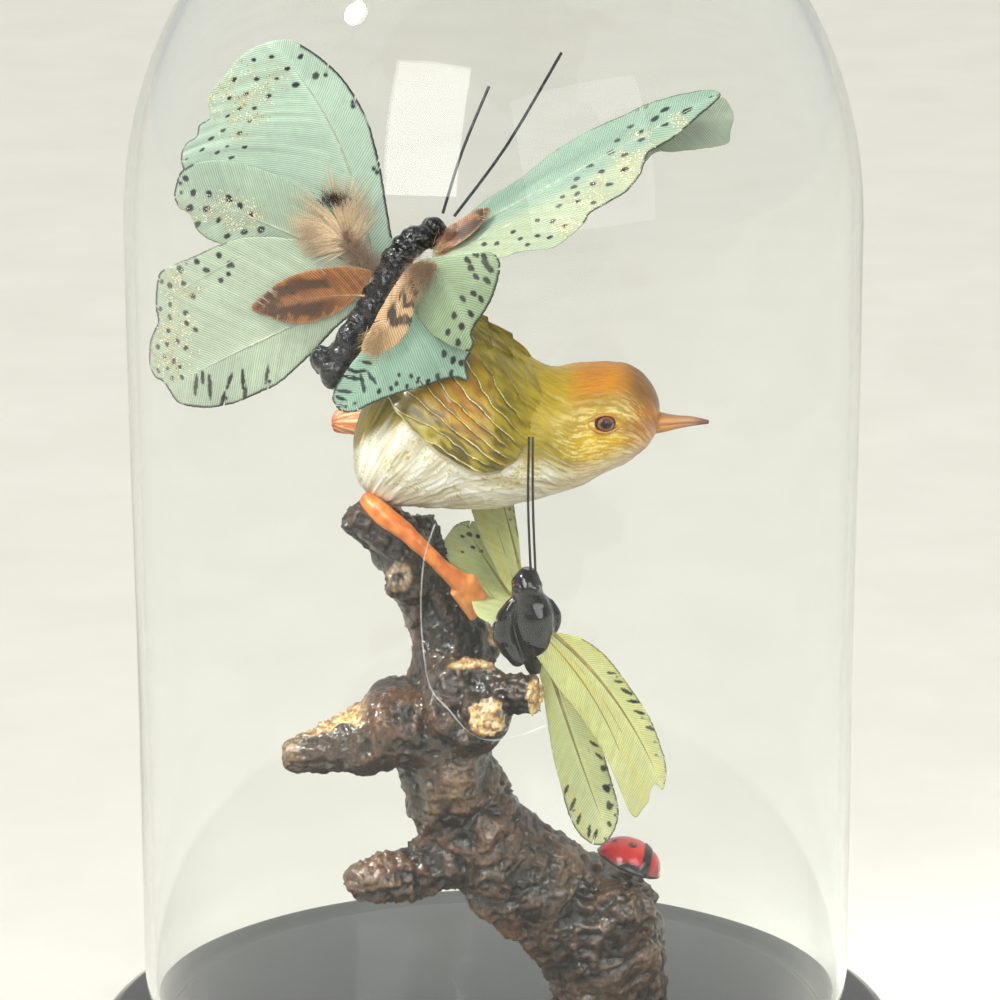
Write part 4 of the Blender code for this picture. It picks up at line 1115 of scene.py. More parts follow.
def build_bird_limbs():
    near = [
        (-29.6, -6.0, 152.9, 2.2), (-26.0, -9.5, 150.2, 2.5), (-21.0, -11.5, 146.8, 2.2),
        (-16.2, -12.0, 142.2, 1.8), (-11.4, -11.4, 137.2, 1.9), (-7.4, -10.0, 133.2, 2.6),
        (-4.8, -9.0, 129.0, 2.4), (-3.8, -8.8, 126.2, 1.4),
    ]
    far = [
        (-27.0, 8.0, 151.6, 2.2), (-25.0, 13.0, 149.2, 2.3), (-24.2, 17.0, 145.0, 1.9),
        (-22.6, 18.2, 139.6, 1.8), (-19.0, 17.4, 134.4, 2.3), (-16.6, 16.6, 130.4, 1.8),
    ]
    skin = painted("leg_paint", 0.4, coat=0.35, grain=0.16, scale=1.2, bump=0.22, stretch=(1.0, 1.0, 0.5))
    for side, stops, aside in (("right", near, -0.42), ("left", far, 0.42)):
        parts = [limb_points(stops, 50, 24, start=0.6, end=0.7)]
        for k in (-1, 1):
            toe = [(x + k * 1.5, y + aside, z + k * 1.2, radius * 0.66) for x, y, z, radius in stops[-3:]]
            parts.append(limb_points(toe, 16, 16, start=0.6, end=0.8))
        item = fused("painted_leg_" + side, parts, 0.3, 3)
        points = points_of(item)
        normals = normals_of(item)
        knobs = turbulence(points, 0.35, 2, 2.0)
        points = points + normals * (0.16 * knobs)[:, None]
        set_points(item, points)
        low = smoothstep(138.0, 128.0, points[:, 2])
        # Painted shade and highlight: the legs are painted lighter on their knobs and darker in the dips
        # between them.
        colour = mix((0.52, 0.12, 0.014), (0.68, 0.22, 0.040), smoothstep(-0.5, 0.7, knobs))
        colour = mix(colour, (0.76, 0.40, 0.14), low * 0.4)
        colour = mix(colour, (0.42, 0.11, 0.015), smoothstep(-0.2, -0.7, knobs) * 0.5)
        give_paint(item, colour)
        piece(item, skin, BASE, "orange_paint", "bird_leg_" + side)
    stops = [(-30.0, 11.4, 166.4, 2.6), (-33.5, 13.6, 166.4, 2.9), (-37.2, 15.2, 166.2, 2.6)]
    points, faces = limb_points(stops, 40, 60, start=0.3, end=0.4)
    angle = np.arctan2(points[:, 2] - 166.3, points[:, 1] - 13.5)
    ridge = np.cos(angle * 9)
    centre = stack(points[:, 0], np.interp(points[:, 0], [-37.2, -30], [15.2, 11.4]), 166.3)
    points = points + unit(points - centre) * (0.14 * ridge)[:, None]
    colour = mix((0.62, 0.20, 0.06), (0.80, 0.62, 0.36), smoothstep(0.2, 0.9, ridge) * 0.8)
    colour = mix(colour, (0.55, 0.12, 0.04), smoothstep(-36.6, -38.2, points[:, 0]) * 0.9)
    item = make_mesh("painted_tail", points, faces, colour)
    tail_paint = painted("tail_paint", 0.45, coat=0.2, grain=0.2, bump=0.1)
    piece(item, tail_paint, BASE, "orange_paint", "bird_tail")


# ---------------------------------------------------------------- feathers

INK = (0.006, 0.007, 0.007)
# The bell's lip passes at 80.4 mm, so whatever would lie beyond 72 mm from the axis draws in a little.
FREE_REACH, DRAW_IN = 72.0, 0.72


def closed_line(corners, spacing):
    """A smooth closed line through the corners at even spacing, with the corner number each point is at."""
    corners = vec(corners)
    count = len(corners)
    t = np.linspace(0, count, count * 24, endpoint=False)
    i = t.astype(int)
    f = (t - i)[:, None]
    a, b, c, d = (corners[(i + k) % count] for k in (-1, 0, 1, 2))
    line = b + 0.5 * f * (c - a + f * (2 * a - 5 * b + 4 * c - d + f * (3 * (b - c) + d - a)))
    steps = np.linalg.norm(np.diff(np.vstack([line, line[:1]]), axis=0), axis=1)
    run = np.concatenate([[0], np.cumsum(steps)])
    even = np.arange(0, run[-1] - spacing * 0.5, spacing)
    t = np.append(t, count)
    line = np.vstack([line, line[:1]])
    along = np.interp(even, run, line[:, 0])
    across = np.interp(even, run, line[:, 1])
    return stack(along, across), np.interp(even, run, t)


def inside_of(points, loop):
    """Whether each flat point is inside the closed loop."""
    x, y = points.T
    inside = np.zeros(len(points), bool)
    for (ax, ay), (bx, by) in zip(loop, np.roll(loop, -1, axis=0)):
        crosses = (ay > y) != (by > y)
        if by != ay:
            inside ^= crosses & (x < (bx - ax) * (y - ay) / (by - ay) + ax)
    return inside


def nearest_on(points, loop):
    """Distance to the loop and the number of its nearest point, for each flat point."""
    best = np.full(len(points), 1e9)
    which = np.zeros(len(points), int)
    for k, (x, y) in enumerate(loop):
        gap = (points[:, 0] - x) ** 2 + (points[:, 1] - y) ** 2
        closer = gap < best
        best[closer] = gap[closer]
        which[closer] = k
    return np.sqrt(best), which


def ink_dots(tone, a, b, dots, lean, long, wide, rng):
    """Blots of ink, drawn out along the barbs. A dot is (along, across, size)."""
    for x, y, size in dots:
        turn = lean + rng.uniform(-0.25, 0.25)
        if y < 0:
            turn = -turn
        da = (a - x) * math.cos(turn) + (b - y) * math.sin(turn)
        db = -(a - x) * math.sin(turn) + (b - y) * math.cos(turn)
        near = np.hypot(da, db) < 6
        if not near.any():
            continue
        rough = np.zeros(len(a))
        rough[near] = noise_at(stack(a[near] * 1.3, b[near] * 1.3, x), 1.0)
        reach = np.hypot(da / (1.12 * long * size), db / (1.18 * wide * min(size, 1.5))) + 0.35 * rough
        shade = smoothstep(1.12, 0.78, reach)
        tone = mix(tone, INK, shade * rng.uniform(0.88, 1.0))
    return tone


def draw_in(points):
    """Draws points that lie beyond the free reach in towards the axis."""
    reach = np.hypot(points[:, 0], points[:, 1])
    drawn = np.where(reach > FREE_REACH, FREE_REACH + (reach - FREE_REACH) * DRAW_IN, reach)
    points[:, :2] *= (drawn / np.maximum(reach, 1e-6))[:, None]


def ragged_edge(outline, length, slant, slits, seed, rng):
    """A vane's ragged edge, its barbs parted here and there, with the corner number each point is at."""
    loop, corner = closed_line(outline, 0.34)
    away = np.roll(loop, -1, axis=0) - np.roll(loop, 1, axis=0)
    out = unit(stack(away[:, 1], -away[:, 0]))
    jag = noise_at(stack(*(loop * 1.7).T, seed), 1.0)
    loop = loop + out * (0.16 * jag)[:, None]
    edge = [tuple(p) for p in loop]
    number = list(corner)
    picks = rng.choice(np.arange(6, len(loop) - 6), size=slits, replace=False)
    for k in sorted(picks, reverse=True):
        a, b = loop[k]
        if a < 0.3 * length:
            continue
        depth = rng.uniform(0.8, 2.6)
        way = unit(vec([slant, math.copysign(1.0, b)]))
        notch = vec([a, b]) - way * depth
        if inside_of(notch[None], loop)[0] and nearest_on(notch[None], loop)[0][0] > 0.45:
            edge.insert(k + 1, tuple(notch))
            number.insert(k + 1, corner[k])
    return vec(edge), vec(number)


def fill_edge(edge, spacing):
    """Flat points and triangles that fill the edge, the inner ones on a staggered grid."""
    low, high = edge.min(axis=0), edge.max(axis=0)
    rows = np.arange(low[0], high[0], spacing)
    columns = np.arange(low[1], high[1], spacing * 0.866)
    ga, gb = np.meshgrid(rows, columns, indexing="ij")
    ga = ga + (np.arange(len(columns)) % 2)[None, :] * spacing * 0.5
    grid = stack(ga.ravel(), gb.ravel())
    grid = grid[inside_of(grid, edge)]
    gap, _ = nearest_on(grid, edge)
    flat = np.vstack([edge, grid[gap > spacing * 0.62]])
    ring = list(range(len(edge)))
    sides = list(zip(ring, ring[1:] + ring[:1]))
    made = delaunay_2d_cdt([Vector(p) for p in flat], sides, [ring], 1, 1e-6)
    return vec([tuple(p) for p in made[0]]), [tuple(f) for f in made[2]]


def sheet_faces(tris, count):
    """A thin sheet's front, its back, whose points come count later, and the rim between them."""
    faces = tris + [tuple(i + count for i in face[::-1]) for face in tris]
    used = {side for face in tris for side in zip(face, face[1:] + face[:1])}
    return faces + [(j, i, i + count, j + count) for i, j in used if (j, i) not in used]


def quill_tube(line, size, root, bow, tip, side, curl):
    """A tapering quill laid over the vane along a straight (along, across) line."""
    (a0, b0), (a1, b1) = line
    share = np.linspace(0, 1, 40)
    along = a0 + (a1 - a0) * share
    across = b0 + (b1 - b0) * share
    f = np.clip(along / np.linalg.norm(tip - root), 0, 1)[:, None]
    ahead = unit(bowed_way(root, bow, tip, f))
    aside = unit(side - ahead * (ahead @ side)[:, None])
    rise = curl * (across / 10.0) ** 2
    spine = bowed(root, bow, tip, f) + aside * across[:, None] + np.cross(ahead, aside) * rise[:, None]
    draw_in(spine)
    return limb_points(np.column_stack([spine, size * (1 - 0.78 * share)]), 60, 10, end=0.8)


def build_feather(
    node, material, slot, root, bow, tip, side, outline, colour, seed,
    inked=(), dots=(), dashes=(), dot_lean=1.0, gold=(), curl=0.0, finish=None,
    spacing=0.30, slits=12, slant=0.75,
    quill=(0.80, 0.88, 0.68), quill_size=0.52, quill_end=0.94, more_quills=(),
):
    """A feather in place of its CAD blade: a thin barbed vane cut to an outline of (along, across)
    millimetres, laid along the bowed line from root to tip, with a tapering quill let into it. inked gives
    the stretches of the outline, by corner number, that carry a broken ink line, as (first, last, strength,
    width). gold and the dots are (along, across, size). finish(tone, along, across, share of the length,
    distance to the edge) repaints the vane."""
    rng = np.random.default_rng(seed)
    root, bow, tip, side = vec(root), vec(bow), vec(tip), vec(side)
    length = np.linalg.norm(tip - root)
    edge, number = ragged_edge(outline, length, slant, slits, seed, rng)
    flat, tris = fill_edge(edge, spacing)
    a, b = flat.T
    barb = a - slant * np.abs(b)
    t = a / length
    f = np.clip(t, 0, 1)[:, None]
    pull = bowed_way(root, bow, tip, f)
    centre = bowed(root, bow, tip, f) + pull * (t[:, None] - f)
    ahead = unit(pull)
    across = unit(side - ahead * (ahead @ side)[:, None])
    normal = np.cross(ahead, across)
    wave = noise_at(stack(a * 0.10, b * 0.10, seed * 3.1), 1.0)
    fold = noise_at(stack(barb * 0.42, b * 0.03, seed * 1.7), 1.0)
    rise = curl * (b / 10.0) ** 2 + (0.3 * wave + 0.16 * fold) * smoothstep(0.0, 5.0, np.abs(b))
    middle = centre + across * b[:, None] + normal * rise[:, None]
    draw_in(middle)
    gap, which = nearest_on(flat, edge)
    thick = 0.07 + 0.06 * smoothstep(0.0, 1.0, gap)

    tone = np.tile(vec(colour), (len(a), 1))
    soft = noise_at(stack(a * 0.09, b * 0.09, seed), 1.0)
    streak = noise_at(stack(barb * 1.1, b * 0.06, seed + 9), 1.0)
    tone = tone * (1 + 0.10 * soft + 0.10 * streak)[:, None]
    tone = mix(tone, tone * 1.1 + 0.06, smoothstep(1.6, 0.2, np.abs(b)) * 0.5)
    if finish is not None:
        tone = finish(tone, a, b, t, gap)
    flecks = np.zeros(len(a))
    for x, y, spread in gold:
        flecks = np.maximum(flecks, smoothstep(spread, spread * 0.3, np.hypot(a - x, b - y)))
    flecks *= smoothstep(-0.4, 0.3, noise_at(stack(a * 0.25, b * 0.25, seed + 4), 1.0))
    tone = mix(tone, (0.56, 0.49, 0.27), flecks * 0.30)
    corner = number[which]
    breaks = noise_at(stack(corner * 1.1, gap * 0.2, seed), 1.0)
    for first, last, strength, wide in inked:
        on = (corner >= first) & (corner <= last)
        line = smoothstep(wide * (1.6 + 0.6 * breaks), wide * 0.8, gap) * smoothstep(-0.55, -0.25, breaks)
        tone = mix(tone, INK, line * on * strength)
    tone = ink_dots(tone, a, b, dots, dot_lean, 0.62, 0.46, rng)
    tone = ink_dots(tone, a, b, dashes, math.atan2(1.0, slant), 0.95, 0.26, rng)

    points = [middle + normal * thick[:, None], middle - normal * thick[:, None]]
    total = 2 * len(flat)
    faces = sheet_faces(tris, len(flat))
    slots = [0] * len(faces)
    for line, size in [([(0.0, 0.0), (quill_end * length, 0.0)], quill_size), *more_quills]:
        tube, quads = quill_tube(line, size, root, bow, tip, side, curl)
        faces += [tuple(i + total for i in face) for face in quads]
        slots += [1] * len(quads)
        points.append(tube)
        total += len(tube)
    paint = np.column_stack([tone, flecks])
    shaft = np.tile(vec((*quill, 0.0)), (total - 2 * len(flat), 1))
    paints = np.concatenate([paint, paint, shaft])
    item = make_mesh(node + "_vane", np.concatenate(points), faces, paints, slots)
    # The vane's texture reads each point's place as (along, across).
    layer = item.data.uv_layers.new(name="vane")
    corners = np.empty(len(item.data.loops), np.int32)
    item.data.loops.foreach_get("vertex_index", corners)
    places = np.concatenate([flat, flat, np.zeros((len(shaft), 2))])
    layer.data.foreach_set("uv", places[corners].ravel().astype(np.float32))
    return piece(item, [material, quill_material], BASE, slot, node)


def strands(name, hairs):
    """A tuft of fine barbs. Each hair is (root, middle, tip, thickness, colour at root, colour at tip)."""
    rings, sides = 7, 4
    t = np.linspace(0, 1, rings)
    points, faces, paints = [], [], []
    angle = np.linspace(0, 2 * math.pi, sides, endpoint=False)
    for number, (root, middle, tip, thick, first, last) in enumerate(hairs):
        u = t[:, None]
        line = bowed(vec(root), vec(middle), vec(tip), u)
        ahead = unit(vec(tip) - vec(root))
        side = unit(np.cross(ahead, vec((0.31, 0.9, 0.29))))
        up = np.cross(ahead, side)
        ring = side[None] * np.cos(angle)[:, None] + up[None] * np.sin(angle)[:, None]
        size = thick * (1 - 0.8 * t)
        points.append((line[:, None, :] + ring[None] * size[:, None, None]).reshape(-1, 3))
        faces += tube_faces(rings, sides, number * rings * sides)
        paints.append(mix(vec(first), vec(last), smoothstep(0.15, 0.95, np.repeat(t, sides))))
    return make_mesh(name, np.concatenate(points), faces, np.concatenate(paints))


def build_green_feathers():
    vane = feather_vane("green_vane", glitter=True)
    common = dict(material=vane, slot="green_feather")

    def mint(low, high, start, end, across=0.0):
        """Shades a vane from one tint to another along its length."""
        def finish(tone, a, b, t, gap):
            share = smoothstep(start, end, a + across * b)
            return mix(tone * low, tone * high, share)
        return finish

    def yellowed(tone, a, b, t, gap):
        """Turns one side of a vane yellower."""
        share = smoothstep(-1.0, -5.0, b + 0.02 * a)
        return mix(tone * (0.84, 0.90, 0.84), tone * (1.22, 1.06, 0.86), share)

    build_feather(
        "green_left_fore_feather", root=(-27.6, -9.2, 208.0), bow=(-32.2, -7.6, 243.0),
        tip=(-50.6, -7.0, 260.8), side=(-1.0, 0.0, 0.2),
        outline=[
            (4.0, -5.1), (8.2, -5.6), (13.2, -6.0), (21.3, -7.1), (29.5, -8.1), (35.7, -8.1), (41.3, -7.6),
            (45.7, -6.6), (51.1, -5.1), (55.2, -3.2), (57.8, -0.1), (59.9, 3.9), (60.6, 7.9), (60.3, 12.5),
            (59.8, 17.7), (57.8, 20.2), (54.3, 22.0), (55.1, 24.8), (52.4, 27.0), (53.2, 29.5),
            (51.0, 32.2), (45.4, 33.9), (37.9, 34.4), (26.0, 33.9), (15.9, 29.1), (7.2, 18.1), (2.6, 6.2),
            (1.6, -1.8),
        ],
        dots=[
            (57.6, 5.4, 1), (54.7, 2.0, 1), (49.9, -2.9, 1.1), (49.7, 1.1, 1), (45.2, 2.0, 1.4),
            (44.1, -3.0, 1.5), (57.6, 11.7, 1.1), (53.1, 8.0, 1), (49.5, 4.5, 0.9), (51.8, 12.0, 1),
            (47.1, 8.4, 1.1), (54.6, 15.5, 1), (49.5, 15.5, 1), (46.8, 12.6, 1.1), (50.3, 18.6, 1),
            (44.4, 15.4, 0.9), (47.3, 21.4, 1), (43.0, 18.8, 1.1), (47.6, 24.7, 1.2), (41.6, 22.8, 0.8),
            (38.2, 19.6, 1), (46.3, 27.9, 1.2), (41.7, 25.5, 1), (37.4, 23.4, 1.1), (36.6, 26.6, 1),
            (37.3, 29.8, 1.2), (41.5, 31.6, 1.1), (32.2, 28.3, 1.1),
        ],
        inked=[(0.5, 8.2, 0.95, 0.42), (16.0, 21.5, 0.9, 0.36)], colour=(0.56, 0.70, 0.57),
        gold=[(56, 17, 9), (52, 10, 11), (46, 16, 8), (60, 9, 6)],
        finish=mint(0.96, 1.12, 10, 50), curl=0.1, seed=3, **common)
    build_feather(
        "green_left_mid_feather", root=(-27.4, -11.6, 207.8), bow=(-49.0, -11.0, 219.6),
        tip=(-71.6, -10.8, 227.2), side=(-0.2, 0.0, 1.0),
        outline=[
            (-0.4, 1.1), (6.4, -2.1), (14.5, -3.9), (24.5, -5.5), (29.8, -6.7), (35.0, -8.3), (38.9, -8.2),
            (41.8, -7.0), (44.6, -4.2), (47.4, -3.7), (49.6, -1.7), (49.9, 0.9), (49.6, 3.7), (48.7, 5.5),
            (45.1, 8.5), (37.6, 10.8), (27.1, 11.2), (16.4, 8.5), (7.5, 5.3), (1.2, 4.2),
        ],
        dots=[
            (45.2, 0.8, 1.3), (41.7, 1.8, 1.2), (37.0, 2.3, 1.5), (44.8, -2.8, 1.5), (41.2, -1.8, 1.3),
            (41.8, -5.7, 1.2), (37.5, -3.2, 1.1), (34.4, -6.0, 1.2), (31.0, -3.7, 1.2), (27.6, -1.7, 1.7),
            (26.1, -3.4, 1.1), (30.6, -7.0, 1), (27.5, -5.3, 0.9), (31.0, 0.6, 1.2), (34.1, 1.7, 1.2),
            (47.8, 3.4, 1.3),
        ],
        inked=[(5.0, 7.2, 0.6, 0.22), (9.2, 13.6, 0.95, 0.40)], colour=(0.54, 0.66, 0.52),
        gold=[(40, -4, 7), (32, 0, 6), (36, -1, 7), (45, -3, 5)],
        quill_end=0.985, curl=0.1, seed=5, slits=8, **common)
    build_feather(
        "green_left_hind_feather", root=(-30.0, -13.4, 203.2), bow=(-52.0, -12.9, 194.4),
        tip=(-75.6, -12.2, 181.2), side=(-0.4, 0.0, 1.0),
        outline=[
            (-1.5, 0.3), (4.2, -2.8), (9.5, -4.6), (16.3, -7.5), (21.1, -9.1), (27.3, -10.8), (33.1, -10.9),
            (38.9, -10.4), (44.5, -8.7), (48.2, -6.1), (50.7, -3.3), (51.4, 0.1), (52.0, 2.7), (53.4, 4.6),
            (53.7, 7.3), (52.5, 10.3), (50.5, 13.0), (47.9, 14.7), (46.4, 15.7), (45.6, 18.7), (44.2, 21.3),
            (42.3, 24.0), (40.6, 25.4), (37.2, 25.1), (32.3, 24.3), (24.7, 24.0), (17.4, 22.3), (8.5, 17.3),
            (1.6, 10.0), (-2.8, 3.3),
        ],
        dots=[
            (26.2, 21.9, 1.2), (31.1, 22.8, 1.2), (24.9, 18.9, 1.5), (35.3, 23.2, 1.6), (30.2, 20.2, 1.3),
            (26.2, 17.2, 1), (28.3, 16.6, 1), (39.6, 21.4, 1.2), (35.9, 19.9, 1), (35.4, 16.1, 1.1),
            (41.6, 17.4, 1), (43.0, 14.8, 1.1), (38.5, 13.5, 1.1), (39.4, 11.2, 1), (44.8, 12.3, 1),
            (38.3, 9.0, 1), (49.2, 10.5, 1.1), (46.6, 9.8, 1), (43.6, 8.9, 1.1), (42.3, 6.3, 1.1),
            (48.8, 7.6, 1), (46.8, 5.3, 1.1), (45.9, 3.2, 1), (51.9, 5.6, 1), (49.2, 4.6, 1),
            (46.5, 0.8, 1), (49.2, 2.1, 1),
        ],
        dashes=[
            (44.4, -2.5, 2.6), (41.9, -4.4, 3.2), (37.5, -5.4, 2), (34.6, -6.7, 2.6), (28.8, -7.6, 2.2),
            (40.7, -8.3, 2.0), (35.5, -9.4, 1.8), (42.2, -1.6, 1.6),
        ],
        dot_lean=1.35,
        inked=[
            (0.5, 11.6, 0.95, 0.40), (11.9, 15.3, 0.95, 0.36), (15.3, 22.5, 0.95, 0.46),
            (23.2, 25.2, 0.8, 0.24),
        ],
        colour=(0.60, 0.70, 0.53), gold=[(47, 8, 10), (42, 14, 8), (37, 20, 7), (49, 3, 5)], quill_end=0.99,
        more_quills=[([(22.0, 19.6), (46.0, 18.2)], 0.16)], curl=0.1, seed=7, slits=10, **common)
    build_feather(
        "green_right_fore_feather", root=(-9.0, -12.0, 216.6), bow=(14.0, -7.0, 228.0),
        tip=(53.4, 7.0, 246.6), side=(-0.1, 0.75, 0.4),
        outline=[
            (-9.1, -4.7), (0.5, -9.1), (8.0, -13.4), (11.4, -14.1), (15.5, -15.5), (19.4, -17.6),
            (22.2, -18.2), (25.2, -17.6), (28.4, -16.8), (31.1, -15.7), (32.9, -14.3), (35.6, -14.1),
            (38.9, -14.1), (42.3, -13.8), (45.5, -12.4), (48.1, -10.5), (50.3, -7.8), (52.0, -5.9),
            (54.4, -5.7), (57.7, -5.6), (61.3, -4.6), (65.1, -3.2), (67.9, -2.3), (70.8, -0.6), (70.2, 2.4),
            (66.8, 5.4), (62.9, 7.6), (58.4, 9.3), (52.3, 9.8), (45.8, 10.7), (37.8, 10.2), (30.1, 8.5),
            (22.0, 6.8), (15.0, 6.5), (8.4, 5.2), (1.0, 3.2), (-5.3, 2.1),
        ],
        dots=[
            (53.0, 4.8, 1.2), (53.7, 1.3, 1.1), (52.7, -1.3, 1.2), (48.6, 2.6, 1.1), (60.6, 4.1, 1.4),
            (57.8, 3.0, 1.8), (58.5, -0.5, 1.4), (63.7, 0.1, 1.8), (45.8, -0.1, 1.4), (47.8, -3.0, 1.3),
            (40.2, -0.6, 1.5), (41.4, -4.4, 1.3), (45.7, -7.3, 1.4), (35.9, -2.5, 1.3), (34.2, -4.4, 1.3),
            (38.0, -6.6, 1.2), (40.8, -9.2, 1.3), (33.6, -7.0, 1.2), (30.4, -5.5, 1.1), (28.4, -7.7, 1.2),
            (32.7, -9.3, 1.1), (35.3, -12.1, 1.1), (21.9, -8.4, 1.2), (24.8, -10.8, 1.2),
            (26.6, -14.0, 1.1), (14.9, -8.1, 1.2), (15.4, -11.1, 1.2), (19.6, -12.7, 1.2),
            (21.9, -14.9, 1.1), (16.1, -13.8, 1.1), (9.5, -8.9, 1.3), (6.3, -7.1, 1.3),
        ],
        dot_lean=0.15, inked=[(8.8, 23.2, 0.95, 0.34), (24.5, 29.0, 0.7, 0.26)], colour=(0.42, 0.56, 0.47),
        gold=[(42, -9, 7), (48, -6, 7), (35, -11, 6), (27, -14, 5), (60, -2, 5), (53, -1, 5)],
        more_quills=[([(3.0, -4.5), (50.0, -7.0)], 0.22)],
        finish=yellowed,
        quill_end=0.98, curl=-0.3, seed=11, slant=1.6, slits=8, **common)
    build_feather(
        "green_right_back_feather", root=(14.0, 3.0, 231.0), bow=(36.0, 9.8, 239.0),
        tip=(56.2, 13.4, 239.6), side=(-0.1, 0.3, 1.0),
        outline=[
            (-3.3, -11.9), (9.5, -10.8), (18.1, -8.1), (22.7, -5.6), (26.9, -6.3), (34.2, -6.8),
            (41.5, -6.4), (42.9, -3.7), (44.1, -0.3), (43.3, 2.5), (41.5, 4.6), (36.2, 4.4), (25.8, 1.5),
            (15.2, -1.7), (4.2, -5.1), (-2.8, -8.3),
        ],
        colour=(0.52, 0.59, 0.46), quill_size=0.26, seed=13, slits=16, **common)
    build_feather(
        "green_right_mid_feather", root=(-15.6, -17.0, 211.4), bow=(-9.0, -22.0, 208.2),
        tip=(-5.0, -23.2, 194.8), side=(0.85, -0.1, 0.5),
        outline=[
            (-2.2, -0.5), (-0.4, -5.9), (8.4, -9.3), (15.7, -8.8), (19.4, -6.0), (21.4, -3.2), (22.1, -1.1),
            (21.0, 0.3), (19.4, 0.5), (18.1, 1.9), (17.0, 4.1), (15.1, 7.5), (13.1, 10.3), (11.4, 12.5),
            (9.7, 13.5), (8.1, 12.5), (6.3, 8.7), (3.1, 4.1),
        ],
        dots=[
            (7.0, 9.8, 1.2), (8.2, 11.0, 1.1), (6.9, 7.5, 1.3), (9.1, 10.4, 1.2), (8.4, 7.0, 1.2),
            (10.2, 10.5, 1.4), (10.2, 6.9, 1.1), (11.8, 8.7, 1.3), (12.7, 4.6, 1.2), (12.6, 1.8, 1.1),
            (14.2, 5.5, 1.1), (15.8, 2.0, 1.2), (14.9, -1.8, 1.2), (17.5, -1.1, 1.3), (17.7, -4.6, 1.2),
            (20.1, -3.1, 1.2),
        ],
        dot_lean=0.5, inked=[(5.5, 14.6, 0.9, 0.36)], colour=(0.31, 0.40, 0.235), quill_size=0.2,
        quill_end=0.7, spacing=0.26, seed=17,
        finish=mint(1.0, 1.15, 4, 18, 0.6), slant=0.35, slits=5, **common)
    build_feather(
        "green_right_hind_feather", root=(-17.8, -16.2, 207.2), bow=(-22.0, -19.6, 193.0),
        tip=(-34.4, -21.8, 179.2), side=(1.0, 0.0, -0.3),
        outline=[
            (1.5, -2.2), (8.5, -2.7), (17.0, -4.1), (24.5, -4.8), (29.9, -4.6), (32.5, -3.8), (33.7, -2.2),
            (33.9, 0.4), (32.0, 2.8), (29.2, 4.2), (25.8, 6.4), (22.6, 9.2), (19.9, 12.0), (17.2, 14.6),
            (15.5, 17.1), (15.0, 19.9), (13.3, 18.5), (11.9, 17.3), (10.0, 17.3), (10.1, 14.8),
            (10.2, 11.3), (9.9, 7.6), (6.9, 3.8), (1.7, 1.0),
        ],
        dots=[
            (12.5, 12.1, 1.2), (12.8, 14.6, 1.2), (12.6, 16.5, 1.2), (15.2, 15.6, 1.1), (17.1, 13.4, 1.1),
            (18.9, 12.1, 1), (25.9, 4.0, 0.9), (24.0, 5.8, 0.9), (22.6, 6.1, 0.9), (21.8, 8.5, 0.8),
            (19.8, 10.0, 0.8), (19.7, 8.0, 0.8), (20.8, 5.6, 0.7),
        ],
        dashes=[
            (32.0, -1.8, 1.4), (30.3, -2.1, 2), (25.8, -4.2, 1.4), (27.0, -2.6, 2.4), (24.9, -2.3, 2),
            (26.8, 0.1, 2.4), (24.6, 0.9, 1.6), (22.5, -2.3, 1.4),
        ],
        dot_lean=0.6, inked=[(3.5, 15.2, 0.92, 0.32), (15.2, 18.2, 0.9, 0.4)], colour=(0.40, 0.60, 0.46),
        quill_size=0.2, spacing=0.26, seed=19,
        slant=0.5, slits=6, **common)


